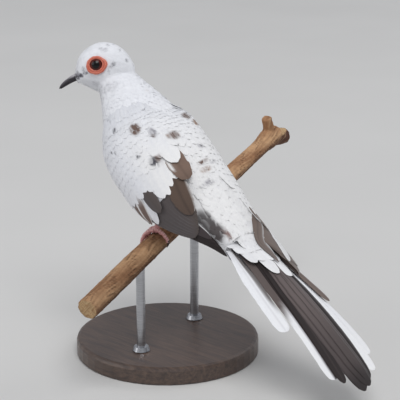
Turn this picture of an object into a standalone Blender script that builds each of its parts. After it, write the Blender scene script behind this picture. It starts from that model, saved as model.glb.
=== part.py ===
"""A diamond dove in pied white plumage, life size, perched on a cut branch that a display stand carries.

The bird faces -X and its left side faces -Y. The origin is the centre of the underside of the stand's base.
Everything is in metres. Torso, wings and tail are laid out in the body frame: X runs along the body towards
the tail, Z points out of the back, and the frame is pitched so that the tail hangs. The head has a frame of
its own, level, with X running out along the bill's side of the face, turned to the bird's left.
"""

import math

import bmesh
import bpy
import numpy as np
from mathutils import Matrix, Vector

GAP = 0.0003
COLLECTION = "diamond_dove"
CUTTERS = "cutters"
MM = 0.001

# Where the bird stands
BODY_CENTRE = (0.0, 0.0, 0.0850)
BODY_PITCH = math.radians(36.2)
HEAD_CENTRE = (-0.0335, -0.0030, 0.1285)
HEAD_SCALE = 1.07
HEAD_TURN = math.radians(48.0)

# Torso and neck sections in mm, front to back: place along the body, height and side shift of the centre,
# tilt of the section in degrees, reach up, reach down, half width
SECTIONS = (
    (-51.0, 14.6, -1.5, 50, 10.4, 8.2, 9.6),
    (-46.0, 13.4, -1.5, 44, 12.0, 8.2, 10.6),
    (-40.0, 11.8, -1.0, 36, 13.6, 9.2, 12.2),
    (-33.0, 9.2, -0.5, 27, 15.8, 12.6, 14.8),
    (-25.0, 6.2, 0.0, 18, 17.8, 17.2, 18.0),
    (-15.0, 3.6, 0.0, 8, 19.6, 20.4, 20.2),
    (-4.0, 2.0, 0.0, 0, 20.2, 20.8, 20.8),
    (9.0, 2.0, 0.0, 0, 18.2, 16.4, 19.6),
    (22.0, 2.8, 0.0, 0, 15.4, 13.4, 17.4),
    (34.0, 4.0, 0.0, 0, 12.2, 11.0, 15.2),
    (44.0, 5.4, 0.0, 0, 8.6, 8.4, 12.0),
    (52.0, 6.6, 0.0, 0, 5.2, 5.4, 9.4),
    (60.0, 7.4, -0.5, 0, 3.0, 3.4, 8.0),
    (70.0, 8.0, -1.0, 0, 1.2, 1.4, 6.5),
)
TORSO_RINGS = 17
NECK_RINGS = 7
BODY_SIDES = 24
NECK_CUT = -30.0
TAIL_CUT = 50.0

# Head profile in mm, back to front: place, crown line, chin line, half width
HEAD_PROFILE = (
    (-11.6, 0.6, -4.0, 2.4),
    (-10.8, 2.4, -6.0, 4.4),
    (-9.0, 5.5, -8.4, 6.6),
    (-6.2, 8.5, -10.4, 8.2),
    (-3.4, 10.2, -11.4, 9.1),
    (0.2, 11.1, -11.6, 9.5),
    (4.2, 10.9, -10.1, 9.3),
    (7.8, 9.2, -8.2, 8.2),
    (10.6, 6.9, -6.8, 6.5),
    (12.4, 4.4, -6.1, 4.7),
    (13.4, 0.9, -5.7, 3.0),
    (14.0, -1.7, -5.3, 1.7),
)
HEAD_SIDES = 20

EYE_PLACE = (5.1, 8.7, 3.1)
EYE_AHEAD = math.radians(12.0)
EYE_RISE = math.radians(12.0)
EYE_RADIUS = 2.9
EYE_FLATNESS = 0.75
RING_RADIUS = 3.55
RING_THICKNESS = 1.0
RING_POINT = 0.5

BILL_PLACE = (13.3, 0.0, -4.0)
BILL_DROP = math.radians(29.0)
BILL_LENGTH = 9.4
BILL_HALF_HEIGHT = 2.15
BILL_HALF_WIDTH = 1.9

# Tips of the tail feathers in mm, bird's left to right: how far back, how far across
TAIL_TIPS = (
    (94.5, -18.3),
    (122.0, -14.0),
    (126.5, -11.2),
    (130.5, -8.2),
    (134.0, -4.8),
    (133.5, -1.5),
    (131.8, 1.8),
    (130.3, 5.0),
    (129.0, 8.4),
    (126.8, 11.8),
    (119.5, 15.4),
    (90.5, 17.0),
)
TAIL_ROOT = 52.4

# Feathers over and under the tail's root: tip's place back and across, half width, lift of the tip
UPPER_COVERTS = (
    (57.0, -9.5, 4.2, 2.4),
    (62.5, -4.8, 4.8, 3.4),
    (71.5, 1.2, 5.2, 3.2),
    (60.0, 4.5, 4.4, 3.6),
    (66.0, 6.0, 4.4, 2.8),
    (57.0, 8.5, 4.2, 2.6),
    (58.0, 0.0, 4.8, 4.2),
)
UNDER_COVERTS = (
    (66.0, -6.5, 4.6, -2.0),
    (77.0, 0.0, 5.2, -1.8),
    (66.0, 6.5, 4.6, -2.0),
)

# Perch, feet and stand in mm
PERCH_UNDER_FOOT = (2.9, -9.0, 55.2)
PERCH_RISE = math.radians(13.7)
PERCH_SKEW = math.radians(-12.0)
PERCH_NEAR = -58.0
PERCH_FAR = 116.0
PERCH_FORK = 111.0
PERCH_RADIUS = 4.7
FOOT_SPREAD = 9.0
TOE_RADIUS = 0.95
TARSUS_RADIUS = 1.25
BASE_RADIUS = 42.0
BASE_THICKNESS = 8.0
ROD_RADIUS = 2.0
ROD_SPREAD = 24.0

LEFT, RIGHT = -1, 1
SIDE_NAMES = {LEFT: "left", RIGHT: "right"}

PALETTE = {
    "white_plumage": ((0.80, 0.80, 0.82), 0.80, 0.0),
    "wing_plumage": ((0.55, 0.52, 0.51), 0.75, 0.0),
    "tail_plumage": ((0.20, 0.17, 0.17), 0.70, 0.0),
    "bill_horn": ((0.045, 0.042, 0.05), 0.40, 0.0),
    "eye_gloss": ((0.03, 0.01, 0.008), 0.08, 0.0),
    "orbital_skin": ((0.55, 0.12, 0.06), 0.55, 0.0),
    "leg_skin": ((0.42, 0.20, 0.21), 0.60, 0.0),
    "bark": ((0.36, 0.23, 0.14), 0.85, 0.0),
    "stand_wood": ((0.06, 0.045, 0.04), 0.45, 0.0),
    "stand_steel": ((0.55, 0.55, 0.56), 0.30, 1.0),
}


def body_matrix():
    return Matrix.Translation(BODY_CENTRE) @ Matrix.Rotation(BODY_PITCH, 4, "Y")


def head_matrix():
    turn = Matrix.Rotation(math.pi + HEAD_TURN, 4, "Z")
    return Matrix.Translation(HEAD_CENTRE) @ turn @ Matrix.Scale(HEAD_SCALE, 4)


def clear_scene():
    for obj in list(bpy.data.objects):
        bpy.data.objects.remove(obj, do_unlink=True)
    for mesh in list(bpy.data.meshes):
        bpy.data.meshes.remove(mesh)
    for name in (COLLECTION, CUTTERS):
        old = bpy.data.collections.get(name)
        if old:
            bpy.data.collections.remove(old)


def make_collection(name):
    collection = bpy.data.collections.new(name)
    bpy.context.scene.collection.children.link(collection)
    return collection


def material(name):
    found = bpy.data.materials.get(name)
    if found:
        return found
    colour, roughness, metallic = PALETTE[name]
    made = bpy.data.materials.new(name)
    made.use_nodes = True
    shader = made.node_tree.nodes["Principled BSDF"]
    shader.inputs["Base Color"].default_value = (*colour, 1.0)
    shader.inputs["Roughness"].default_value = roughness
    shader.inputs["Metallic"].default_value = metallic
    return made


def mesh_object(name, verts, faces, where, surface=None, matrix=None):
    mesh = bpy.data.meshes.new(name)
    mesh.from_pydata([tuple(Vector(v) * MM) for v in verts], [], faces)
    obj = bpy.data.objects.new(name, mesh)
    where.objects.link(obj)
    if matrix is not None:
        mesh.transform(matrix)
    settle(mesh)
    if surface:
        mesh.materials.append(material(surface))
    return obj


def body_from(name, bm, where, surface=None, matrix=None):
    """Object from a bmesh drawn in millimetres."""
    bmesh.ops.scale(bm, vec=(MM, MM, MM), verts=bm.verts)
    mesh = bpy.data.meshes.new(name)
    bm.to_mesh(mesh)
    bm.free()
    obj = bpy.data.objects.new(name, mesh)
    where.objects.link(obj)
    if matrix is not None:
        mesh.transform(matrix)
    if surface:
        mesh.materials.append(material(surface))
    return obj


def applied(obj):
    """Replaces an object's data by its evaluated mesh, welded closed."""
    bpy.context.view_layer.update()
    graph = bpy.context.evaluated_depsgraph_get()
    mesh = bpy.data.meshes.new_from_object(obj.evaluated_get(graph))
    name, home = obj.name, obj.users_collection[0]
    surfaces = [slot.material for slot in obj.material_slots]
    bpy.data.objects.remove(obj, do_unlink=True)
    settle(mesh)
    fresh = bpy.data.objects.new(name, mesh)
    home.objects.link(fresh)
    mesh.materials.clear()
    for one in surfaces:
        mesh.materials.append(one)
    return fresh


def settle(mesh):
    """Merges doubled points and turns every face outward."""
    bm = bmesh.new()
    bm.from_mesh(mesh)
    bmesh.ops.remove_doubles(bm, verts=bm.verts, dist=0.000002)
    bmesh.ops.recalc_face_normals(bm, faces=bm.faces)
    bm.to_mesh(mesh)
    bm.free()
    mesh.update()


def loft(name, rings, where, surface=None, matrix=None):
    """Closed body through rings of equal count, each end closed by a fan about the ring's middle."""
    count = len(rings[0])
    verts = [tuple(p) for ring in rings for p in ring]
    faces = []
    for k in range(len(rings) - 1):
        a, b = k * count, (k + 1) * count
        for i in range(count):
            j = (i + 1) % count
            faces.append((a + i, a + j, b + j, b + i))
    for start, ring in ((0, rings[0]), ((len(rings) - 1) * count, rings[-1])):
        middle = len(verts)
        verts.append(tuple(np.mean(np.array(ring), axis=0)))
        for i in range(count):
            faces.append((start + i, start + (i + 1) % count, middle))
    return mesh_object(name, verts, faces, where, surface, matrix)


def shell(name, outer, inner, where, surface=None, matrix=None):
    """Closed plate between two grids of equal size."""
    rows, cols = len(outer), len(outer[0])
    verts = [tuple(p) for row in outer for p in row] + [tuple(p) for row in inner for p in row]
    shift = rows * cols
    faces = []
    for r in range(rows - 1):
        for c in range(cols - 1):
            a, b, d, e = r * cols + c, r * cols + c + 1, (r + 1) * cols + c + 1, (r + 1) * cols + c
            faces.append((a, b, d, e))
            faces.append((a + shift, e + shift, d + shift, b + shift))
    rim = [c for c in range(cols)]
    rim += [r * cols + cols - 1 for r in range(1, rows)]
    rim += [(rows - 1) * cols + c for c in range(cols - 2, -1, -1)]
    rim += [r * cols for r in range(rows - 2, 0, -1)]
    for i, a in enumerate(rim):
        b = rim[(i + 1) % len(rim)]
        faces.append((a, b, b + shift, a + shift))
    return mesh_object(name, verts, faces, where, surface, matrix)


def closed_volume(mesh):
    """Volume of a mesh, or none at all where it isn't closed."""
    bm = bmesh.new()
    bm.from_mesh(mesh)
    whole = bm.faces and all(len(edge.link_faces) == 2 for edge in bm.edges)
    volume = bm.calc_volume(signed=True) if whole else 0.0
    bm.free()
    return volume


def boolean(target, cutters, operation):
    """Applies one Boolean of all the cutters to the target and removes the cutters."""
    group = bpy.data.collections[CUTTERS]
    for cutter in cutters:
        for held in list(cutter.users_collection):
            held.objects.unlink(cutter)
        group.objects.link(cutter)
        cutter.display_type = "WIRE"
        cutter.hide_render = True
    before = target.data
    least = (0.95 if operation == "UNION" else 0.02) * closed_volume(before)
    graph = bpy.context.evaluated_depsgraph_get
    for solver in ("EXACT", "MANIFOLD"):
        modifier = target.modifiers.new("cut", "BOOLEAN")
        modifier.operation = operation
        modifier.solver = solver
        if len(cutters) == 1:
            modifier.object = cutters[0]
        else:
            modifier.operand_type = "COLLECTION"
            modifier.collection = group
        bpy.context.view_layer.update()
        result = tidy(bpy.data.meshes.new_from_object(target.evaluated_get(graph())))
        target.modifiers.clear()
        if closed_volume(result) > least:
            name, target.data = before.name, result
            bpy.data.meshes.remove(before)
            result.name = name
            break
    for cutter in cutters:
        mesh = cutter.data
        bpy.data.objects.remove(cutter, do_unlink=True)
        bpy.data.meshes.remove(mesh)


def tidy(mesh):
    """Leaves the largest closed surface only, with doubled points merged as far as it stays closed."""
    for merge in (0.00003, 0.00001, 0.000003, 0.0):
        bm = bmesh.new()
        bm.from_mesh(mesh)
        if merge:
            bmesh.ops.remove_doubles(bm, verts=bm.verts, dist=merge)
            bmesh.ops.dissolve_degenerate(bm, edges=bm.edges, dist=merge)
        bmesh.ops.triangulate(bm, faces=bm.faces)
        drop_small_parts(bm)
        closed = all(len(edge.link_faces) == 2 for edge in bm.edges)
        if closed or not merge:
            bmesh.ops.recalc_face_normals(bm, faces=bm.faces)
            bm.to_mesh(mesh)
            bm.free()
            break
        bm.free()
    mesh.update()
    return mesh


def drop_small_parts(bm):
    """Keeps the largest surface; surfaces that only touch along an edge count as separate."""
    parts, seen = [], set()
    for face in bm.faces:
        if face in seen:
            continue
        stack, part = [face], []
        seen.add(face)
        while stack:
            one = stack.pop()
            part.append(one)
            for edge in one.edges:
                near = edge.link_faces if len(edge.link_faces) == 2 else ()
                for other in near:
                    if other not in seen:
                        seen.add(other)
                        stack.append(other)
        parts.append(part)
    parts.sort(key=lambda part: sum(face.calc_area() for face in part))
    small = [face for part in parts[:-1] for face in part]
    if small:
        bmesh.ops.delete(bm, geom=small, context="FACES")
    loose = [vert for vert in bm.verts if not vert.link_faces]
    if loose:
        bmesh.ops.delete(bm, geom=loose, context="VERTS")


def grown(obj, amount=GAP):
    """Copy of a body pushed outward along its normals, used as a cutter."""
    copy = obj.copy()
    copy.data = obj.data.copy()
    bpy.data.collections[CUTTERS].objects.link(copy)
    bm = bmesh.new()
    bm.from_mesh(copy.data)
    bm.normal_update()
    for vert in bm.verts:
        vert.co += vert.normal * vert.calc_shell_factor() * amount
    bm.to_mesh(copy.data)
    bm.free()
    return copy


def smooth(obj, angle=50.0):
    for polygon in obj.data.polygons:
        polygon.use_smooth = True
    bm = bmesh.new()
    bm.from_mesh(obj.data)
    for edge in bm.edges:
        edge.smooth = not (len(edge.link_faces) == 2 and edge.calc_face_angle(0.0) > math.radians(angle))
    bm.to_mesh(obj.data)
    bm.free()


def spline(table, at):
    """Smooth value of every column of a table at a place in its first column."""
    rows = np.array(table, dtype=float)
    xs = rows[:, 0]
    at = float(min(max(at, xs[0]), xs[-1]))
    k = int(min(max(np.searchsorted(xs, at) - 1, 0), len(xs) - 2))
    slopes = np.zeros_like(rows)
    for i in range(len(xs)):
        lo, hi = max(i - 1, 0), min(i + 1, len(xs) - 1)
        slopes[i] = (rows[hi] - rows[lo]) / (xs[hi] - xs[lo])
    step = xs[k + 1] - xs[k]
    t = (at - xs[k]) / step
    h00, h10 = 2 * t**3 - 3 * t**2 + 1, t**3 - 2 * t**2 + t
    h01, h11 = -2 * t**3 + 3 * t**2, t**3 - t**2
    return h00 * rows[k] + h10 * step * slopes[k] + h01 * rows[k + 1] + h11 * step * slopes[k + 1]


def body_ring(at, sides=BODY_SIDES, shift=0.0, grow=0.0):
    """Ring of the torso or neck at a place along the body, moved along its own normal by the shift."""
    x, z, y, tilt, up, down, half = spline(SECTIONS, at)
    lean = math.radians(tilt)
    ring = []
    for i in range(sides):
        angle = 2.0 * math.pi * (i + 0.5) / sides
        reach = (up if math.cos(angle) > 0 else down) + grow
        rise = reach * math.cos(angle)
        ring.append((
            x + rise * math.sin(lean) + shift * math.cos(lean),
            y + (half + grow) * math.sin(angle),
            z + rise * math.cos(lean) - shift * math.sin(lean),
        ))
    return ring


# Sections the folded wings lie on: the torso's own at first, then a form of their own beside the tail
WING_SECTIONS = SECTIONS[:7] + (
    (9.0, 2.0, 0.0, 0, 18.2, 22.0, 20.8),
    (22.0, 2.8, 0.0, 0, 15.4, 20.6, 19.0),
    (36.0, 4.2, 0.0, 0, 12.0, 13.6, 15.4),
    (46.0, 5.8, 0.0, 0, 9.4, 9.6, 13.2),
    (58.0, 7.4, 0.0, 0, 7.8, 7.4, 12.4),
    (72.0, 8.6, 0.0, 0, 7.2, 6.4, 12.8),
    (92.0, 9.6, 0.0, 0, 6.4, 6.0, 12.4),
)
ARC = 20.0

# Outline of the wing's covered part, on the drawing of a wing laid flat: place along the body, then where
# its inner and its outer edge lie, as arc lengths from the middle of the back
WING_CORE = (
    (-27.0, 14.0, 34.0),
    (-24.0, 8.0, 40.0),
    (-19.0, 5.5, 44.0),
    (-12.0, 4.5, 46.5),
    (-4.0, 4.6, 47.5),
    (4.0, 6.0, 48.0),
    (10.0, 8.0, 47.0),
    (17.0, 12.0, 43.5),
)

# Feather rows of a wing on that drawing. Each row: how many feathers; first and last tip; first and last
# root, each as place and arc; widths; lift over the body of the root and of the tip, each for the first and
# the last feather; how far one edge is raised over the other
WING_ROWS = (
    ("primary", 7, (52.0, 31.2), (43.0, 26.0), (5.0, 41.0), (7.0, 31.0),
     (3.5, 3.9), (0.8, 0.6), (2.2, 2.6), 0.15),
    ("secondary", 8, (40.0, 30.5), (31.0, 20.5), (4.0, 38.0), (4.0, 15.0),
     (4.9, 5.1), (2.2, 2.7), (2.6, 3.2), 0.45),
    ("greater", 8, (4.0, 43.5), (17.5, 13.5), (-9.0, 43.0), (2.0, 11.5),
     (3.5, 3.9), (2.6, 3.3), (2.6, 3.9), 0.35),
    ("median", 7, (-4.5, 44.0), (8.0, 10.5), (-14.0, 43.0), (-4.0, 9.5),
     (3.6, 3.9), (2.5, 3.4), (2.6, 4.0), 0.30),
    ("tertial", 2, (30.0, 20.0), (15.6, 8.6), (5.0, 12.5), (-1.0, 8.0),
     (4.9, 5.0), (3.2, 3.7), (3.3, 4.4), 0.30),
)
VANE = ((0.0, 0.5), (0.40, 0.95), (0.74, 1.0), (0.92, 0.72), (1.0, 0.24))
SHORT_VANE = ((0.0, 0.6), (0.60, 1.0), (0.88, 0.80), (1.0, 0.28))
VANE_THICKNESS = 0.55
WING_SHIFT = {LEFT: (0.0, 1.0, 0.0), RIGHT: (5.0, 1.2, 0.42)}


def wing_point(side, x, s, h):
    """Point of a wing's drawing on its side of the body, h above the sections it lies on."""
    place, z, y, tilt, up, down, half = spline(WING_SECTIONS, x)
    beyond = x - place
    lean, angle = math.radians(tilt), s / ARC
    reach = (up if math.cos(angle) > 0 else down) + h
    rise = reach * math.cos(angle)
    return Vector((
        place + beyond + rise * math.sin(lean),
        side * (half + h) * math.sin(angle) + y,
        z + rise * math.cos(lean),
    ))


def on_wing(side, x, s, h):
    """The right wing is held higher, longer and a little spread; the left one droops as drawn."""
    ahead, stretch, spread = WING_SHIFT[side]
    back = min(1.0, max(0.0, (x + 27.0) / 60.0))
    s = 28.0 + (s - 28.0) * (1.0 + spread * back * back if s < 28.0 else 1.0 - 0.3 * spread)
    x = -27.0 + (x + 27.0) * (1.0 + (stretch - 1.0) * back) + ahead
    return wing_point(side, x, s, h)


def on_tail(x, y, h):
    """Point over the tail's plane, arched at the root and flatter towards the tips."""
    share = min(1.0, max(0.0, (x - 50.0) / 60.0))
    arch = 0.012 * (1.0 - share) + 0.0015 * share
    return Vector((x, y, 7.0 + 0.028 * (x - 50.0) - arch * y * y + h))


def vane(name, place, root, tip, width, lifts, slant, where, surface, bow=0.0, shape=VANE):
    """One feather as a thin plate: an open strip over the surface it lies on, given its thickness."""
    root, tip = Vector(root), Vector(tip)
    way = (tip - root).normalized()
    across = Vector((-way.y, way.x))
    verts, faces = [], []
    for k, (t, share) in enumerate(shape):
        spot = root.lerp(tip, t) + across * bow * math.sin(math.pi * t)
        low = lifts[0] + (lifts[1] - lifts[0]) * t
        for side in (-1.0, 0.0, 1.0):
            point = spot + across * side * width * share
            ridge = 0.12 if side == 0.0 else 0.0
            verts.append(place(point.x, point.y, low + slant * side * share + ridge))
        if k:
            a = 3 * (k - 1)
            faces += [(a, a + 1, a + 4, a + 3), (a + 1, a + 2, a + 5, a + 4)]
    mesh = bpy.data.meshes.new(name)
    mesh.from_pydata([tuple(v * MM) for v in verts], [], faces)
    obj = bpy.data.objects.new(name, mesh)
    where.objects.link(obj)
    mesh.transform(body_matrix())
    mesh.materials.append(material(surface))
    out = (body_matrix().to_3x3() @ (place(*spot, 5.0) - place(*spot, 0.0))).normalized()
    mesh.update()
    if sum((face.normal for face in mesh.polygons), Vector()).dot(out) < 0:
        mesh.flip_normals()
    thick = obj.modifiers.new("thickness", "SOLIDIFY")
    thick.thickness = VANE_THICKNESS * MM
    thick.offset = 1.0
    return obj


def wing_feathers(side, where):
    vanes = []

    def place(x, s, h):
        return on_wing(side, x, s, h)

    for row, count, tip_a, tip_b, root_a, root_b, widths, lift_root, lift_tip, slant in WING_ROWS:
        for k in range(count):
            t = k / (count - 1)
            bulge = math.sin(math.pi * t)
            tip = Vector(tip_a).lerp(Vector(tip_b), t)
            root = Vector(root_a).lerp(Vector(root_b), t)
            if row in ("primary", "secondary"):
                tip.x += 3.0 * bulge
            elif row != "tertial":
                tip.x += 2.2 * bulge
            width = widths[0] + (widths[1] - widths[0]) * t
            lifts = (lift_root[0] + (lift_root[1] - lift_root[0]) * t,
                     lift_tip[0] + (lift_tip[1] - lift_tip[0]) * t)
            if row == "primary":
                lifts = (0.8 + 1.2 * t, 0.7 + 2.4 * t)
            flat = 1.0 if side == LEFT else 0.72
            lifts = (flat * (lifts[0] + 0.013 * k), flat * (lifts[1] + 0.017 * k))
            shape = SHORT_VANE if row in ("greater", "median") else VANE
            name = f"{row}_{k}"
            vanes.append(vane(name, place, root, tip, width, lifts, slant, where, "wing_plumage", 0.0, shape))
    return vanes


def wing_core(side, where):
    """The covered part of a folded wing as a plate over the flank."""
    rows, cols = 12, 9
    outer, inner = [], []
    first, last = WING_CORE[0][0], WING_CORE[-1][0]
    for r in range(rows):
        along = r / (rows - 1)
        x, near, far = spline(WING_CORE, first + (last - first) * along)
        top, low = [], []
        for c in range(cols):
            across = c / (cols - 1)
            s = near + (far - near) * across
            swell = math.sin(math.pi * across) ** 0.5
            swell *= 2.2 if side == LEFT else 1.4
            thick = (0.7 + swell * min(1.0, 0.15 + along * 5.0)) * min(1.0, 1.2 - 0.5 * along)
            top.append(on_wing(side, x, s, 0.5 + thick))
            low.append(on_wing(side, x, s, 0.5))
        outer.append(top)
        inner.append(low)
    return shell(f"wing_{SIDE_NAMES[side]}", outer, inner, where, "wing_plumage", body_matrix())


def build_wing(side, where):
    wing = wing_core(side, where)
    boolean(wing, wing_feathers(side, where), "UNION")
    return wing


def head_ring(at, sides=HEAD_SIDES):
    x, crown, chin, half = spline(HEAD_PROFILE, at)
    middle, reach = (crown + chin) / 2.0, (crown - chin) / 2.0
    ring = []
    for i in range(sides):
        angle = 2.0 * math.pi * (i + 0.5) / sides
        c, s = math.cos(angle), math.sin(angle)
        ring.append((
            x,
            half * math.copysign(abs(s) ** 0.93, s),
            middle + reach * math.copysign(abs(c) ** 0.93, c),
        ))
    return ring


def build_torso(where):
    places = np.linspace(NECK_CUT, TAIL_CUT, TORSO_RINGS)
    rings = []
    for k, at in enumerate(places):
        shift = GAP / MM / 2.0 if k == 0 else (-GAP / MM / 2.0 if k == len(places) - 1 else 0.0)
        rings.append(body_ring(at, shift=shift))
    return loft("torso", rings, where, "white_plumage", body_matrix())


def build_head_and_neck(where):
    """Head and neck are joined, then parted by a cut square to the neck."""
    places = np.linspace(SECTIONS[0][0], NECK_CUT, NECK_RINGS)
    rings = []
    for k, at in enumerate(places):
        rings.append(body_ring(at, shift=-GAP / MM / 2.0 if k == len(places) - 1 else 0.0))
    neck = loft("neck", rings, where, "white_plumage", body_matrix())
    ends = [HEAD_PROFILE[0][0], -11.2, -10.2, -8.8, -6.8, -4.4, -2.0, 0.6, 3.2, 5.6, 7.8, 9.8, 11.4, 12.6,
            13.4, HEAD_PROFILE[-1][0]]
    head = loft("head", [head_ring(at) for at in ends], where, "white_plumage", head_matrix())
    copy = head.copy()
    copy.data = head.data.copy()
    where.objects.link(copy)
    boolean(neck, [copy], "UNION")
    whole = neck.copy()
    whole.data = neck.data.copy()
    where.objects.link(whole)
    ahead = half_space(where, NECK_HEAD_PLACE, NECK_HEAD_LEAN, -GAP / MM / 2.0, True)
    boolean(whole, [ahead], "INTERSECT")
    behind = half_space(where, NECK_HEAD_PLACE, NECK_HEAD_LEAN, GAP / MM / 2.0, False)
    boolean(neck, [behind], "INTERSECT")
    bpy.data.objects.remove(head, do_unlink=True)
    whole.name = "head"
    return whole, neck


NECK_HEAD_PLACE = (-36.0, -3.0, 118.0)
NECK_HEAD_LEAN = math.radians(-38.0)


def half_space(where, place, lean, shift, above):
    """Large block on one side of a plane that leans about the Y axis."""
    size = 80.0
    bm = bmesh.new()
    bmesh.ops.create_cube(bm, size=2.0 * size)
    bmesh.ops.translate(bm, vec=(0.0, 0.0, (size if above else -size) - shift), verts=bm.verts)
    matrix = Matrix.Translation(Vector(place) * MM) @ Matrix.Rotation(lean, 4, "Y")
    return body_from("cut_block", bm, where, None, matrix)


def tail_feathers(where):
    vanes = []
    middle = (len(TAIL_TIPS) - 1) / 2.0
    for k, tip in enumerate(TAIL_TIPS):
        away = abs(k - middle) / middle
        root = (TAIL_ROOT, -6.4 + 12.4 * k / (len(TAIL_TIPS) - 1))
        lift = 2.0 * (1.0 - away)
        slant = 0.25 * (1.0 if k < middle else -1.0)
        bow = 0.0 if k < middle else 1.2 * away
        lifts = (lift, lift * 0.8 + 0.02 * k)
        vanes.append(vane(f"rectrix_{k}", on_tail, root, tip, 4.5, lifts, slant, where, "tail_plumage", bow))
    for k, (x, y, width, lift) in enumerate(UPPER_COVERTS):
        root = (TAIL_ROOT, y * 0.65)
        vanes.append(vane(f"upper_covert_{k}", on_tail, root, (x, y), width, (1.8, lift), 0.0, where,
                          "tail_plumage"))
    for k, (x, y, width, lift) in enumerate(UNDER_COVERTS):
        root = (TAIL_ROOT, y * 0.6)
        vanes.append(vane(f"under_covert_{k}", on_tail, root, (x, y), width, (-2.4, lift), 0.0, where,
                          "tail_plumage"))
    return vanes


def build_tail(where):
    """Fleshy root of the tail with its feathers fanned over and under it."""
    rings = []
    for k, at in enumerate(np.linspace(TAIL_CUT, 70.0, 6)):
        rings.append(body_ring(at, 20, GAP / MM / 2.0 if k == 0 else 0.0))
    tail = loft("tail", rings, where, "tail_plumage", body_matrix())
    boolean(tail, tail_feathers(where), "UNION")
    return tail


def frame_along(direction):
    """Two directions square to the given one, the second as near upright as can be."""
    d = Vector(direction).normalized()
    up = Vector((0.0, 0.0, 1.0)) - d * d.z
    up.normalize()
    return up.cross(d), up, d


def tube(name, path, radii, where, surface, resolution=2):
    """Round bar along a path with a radius at each point, its ends capped."""
    curve = bpy.data.curves.new(name, "CURVE")
    curve.dimensions = "3D"
    curve.bevel_depth = MM
    curve.bevel_resolution = resolution
    curve.use_fill_caps = True
    line = curve.splines.new("POLY")
    line.points.add(len(path) - 1)
    for point, place, radius in zip(line.points, path, radii):
        point.co = (*(Vector(place) * MM), 1.0)
        point.radius = float(radius)
    obj = bpy.data.objects.new(name, curve)
    where.objects.link(obj)
    curve.materials.append(material(surface))
    return applied(obj)


def ball(name, place, radius, where, surface=None, matrix=None, scale=(1, 1, 1), turn=None, segments=16,
         rings=10):
    """Ellipsoid, scaled first and then turned and placed."""
    bm = bmesh.new()
    bmesh.ops.create_uvsphere(bm, u_segments=segments, v_segments=rings, radius=radius)
    bmesh.ops.scale(bm, vec=scale, verts=bm.verts)
    if turn is not None:
        bmesh.ops.rotate(bm, matrix=turn, verts=bm.verts)
    bmesh.ops.translate(bm, vec=Vector(place), verts=bm.verts)
    return body_from(name, bm, where, surface, matrix)


def eye_turn(side):
    """Turn whose Z axis looks straight out of the eye."""
    out = Vector((math.sin(EYE_AHEAD), side * math.cos(EYE_AHEAD) * math.cos(EYE_RISE), math.sin(EYE_RISE)))
    out.normalize()
    ahead = Vector((1.0, 0.0, -0.15))
    ahead = (ahead - out * ahead.dot(out)).normalized()
    return Matrix((ahead, out.cross(ahead), out)).transposed()


def build_eye(side, head, where):
    """Eyeball in a socket, with the bare ring of skin around it standing on the face."""
    name, turn, matrix = SIDE_NAMES[side], eye_turn(side), head_matrix()
    place = Vector((EYE_PLACE[0], side * EYE_PLACE[1], EYE_PLACE[2]))
    out = turn @ Vector((0.0, 0.0, 1.0))
    eye = ball(f"eye_{name}", place - out * 1.0, EYE_RADIUS, where, "eye_gloss", matrix,
               (1.0, 1.0, EYE_FLATNESS), turn, 18, 10)
    bpy.ops.mesh.primitive_torus_add(major_segments=22, minor_segments=7, major_radius=RING_RADIUS * MM,
                                     minor_radius=RING_THICKNESS * MM)
    ring = bpy.context.active_object
    for home in list(ring.users_collection):
        home.objects.unlink(ring)
    where.objects.link(ring)
    ring.name = ring.data.name = f"eye_ring_{name}"
    for vert in ring.data.vertices:
        x, y = vert.co.x, vert.co.y
        rear = max(0.0, -x / math.hypot(x, y)) ** 6
        vert.co.x -= rear * RING_POINT * MM
        vert.co.z *= 0.75
    ring.data.transform(Matrix.Translation((place + out * 0.1) * MM) @ turn.to_4x4())
    ring.data.transform(matrix)
    ring.data.materials.append(material("orbital_skin"))
    boolean(head, [grown(ring)], "DIFFERENCE")
    boolean(head, [grown(eye)], "DIFFERENCE")
    boolean(ring, [grown(eye)], "DIFFERENCE")
    return eye, ring


def bill_ring(along, upper):
    """Half section of the bill at a share of its length; the two halves meet at the mouth line."""
    t = max(along, 0.0)
    droop = -1.1 * t**2.6
    if upper:
        height = BILL_HALF_HEIGHT * (1.0 - 0.42 * t**0.8 - 0.42 * t**6)
        width = BILL_HALF_WIDTH * (1.0 - 0.30 * t**0.7 - 0.52 * t**3)
        flat, sign = 0.15 + droop, 1.0
    else:
        height = BILL_HALF_HEIGHT * 0.82 * (1.0 - 0.55 * t**0.9 - 0.25 * t**5)
        width = BILL_HALF_WIDTH * 0.92 * (1.0 - 0.30 * t**0.7 - 0.50 * t**3)
        flat, sign = -0.15 + droop, -1.0
    x = along * BILL_LENGTH
    ring = [(x, width, flat), (x, 0.35 * width, flat), (x, -0.35 * width, flat), (x, -width, flat)]
    for i in range(1, 8):
        angle = math.pi * i / 8
        ring.append((x, -width * math.cos(angle), flat + sign * height * math.sin(angle) ** 0.85))
    return ring


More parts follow.
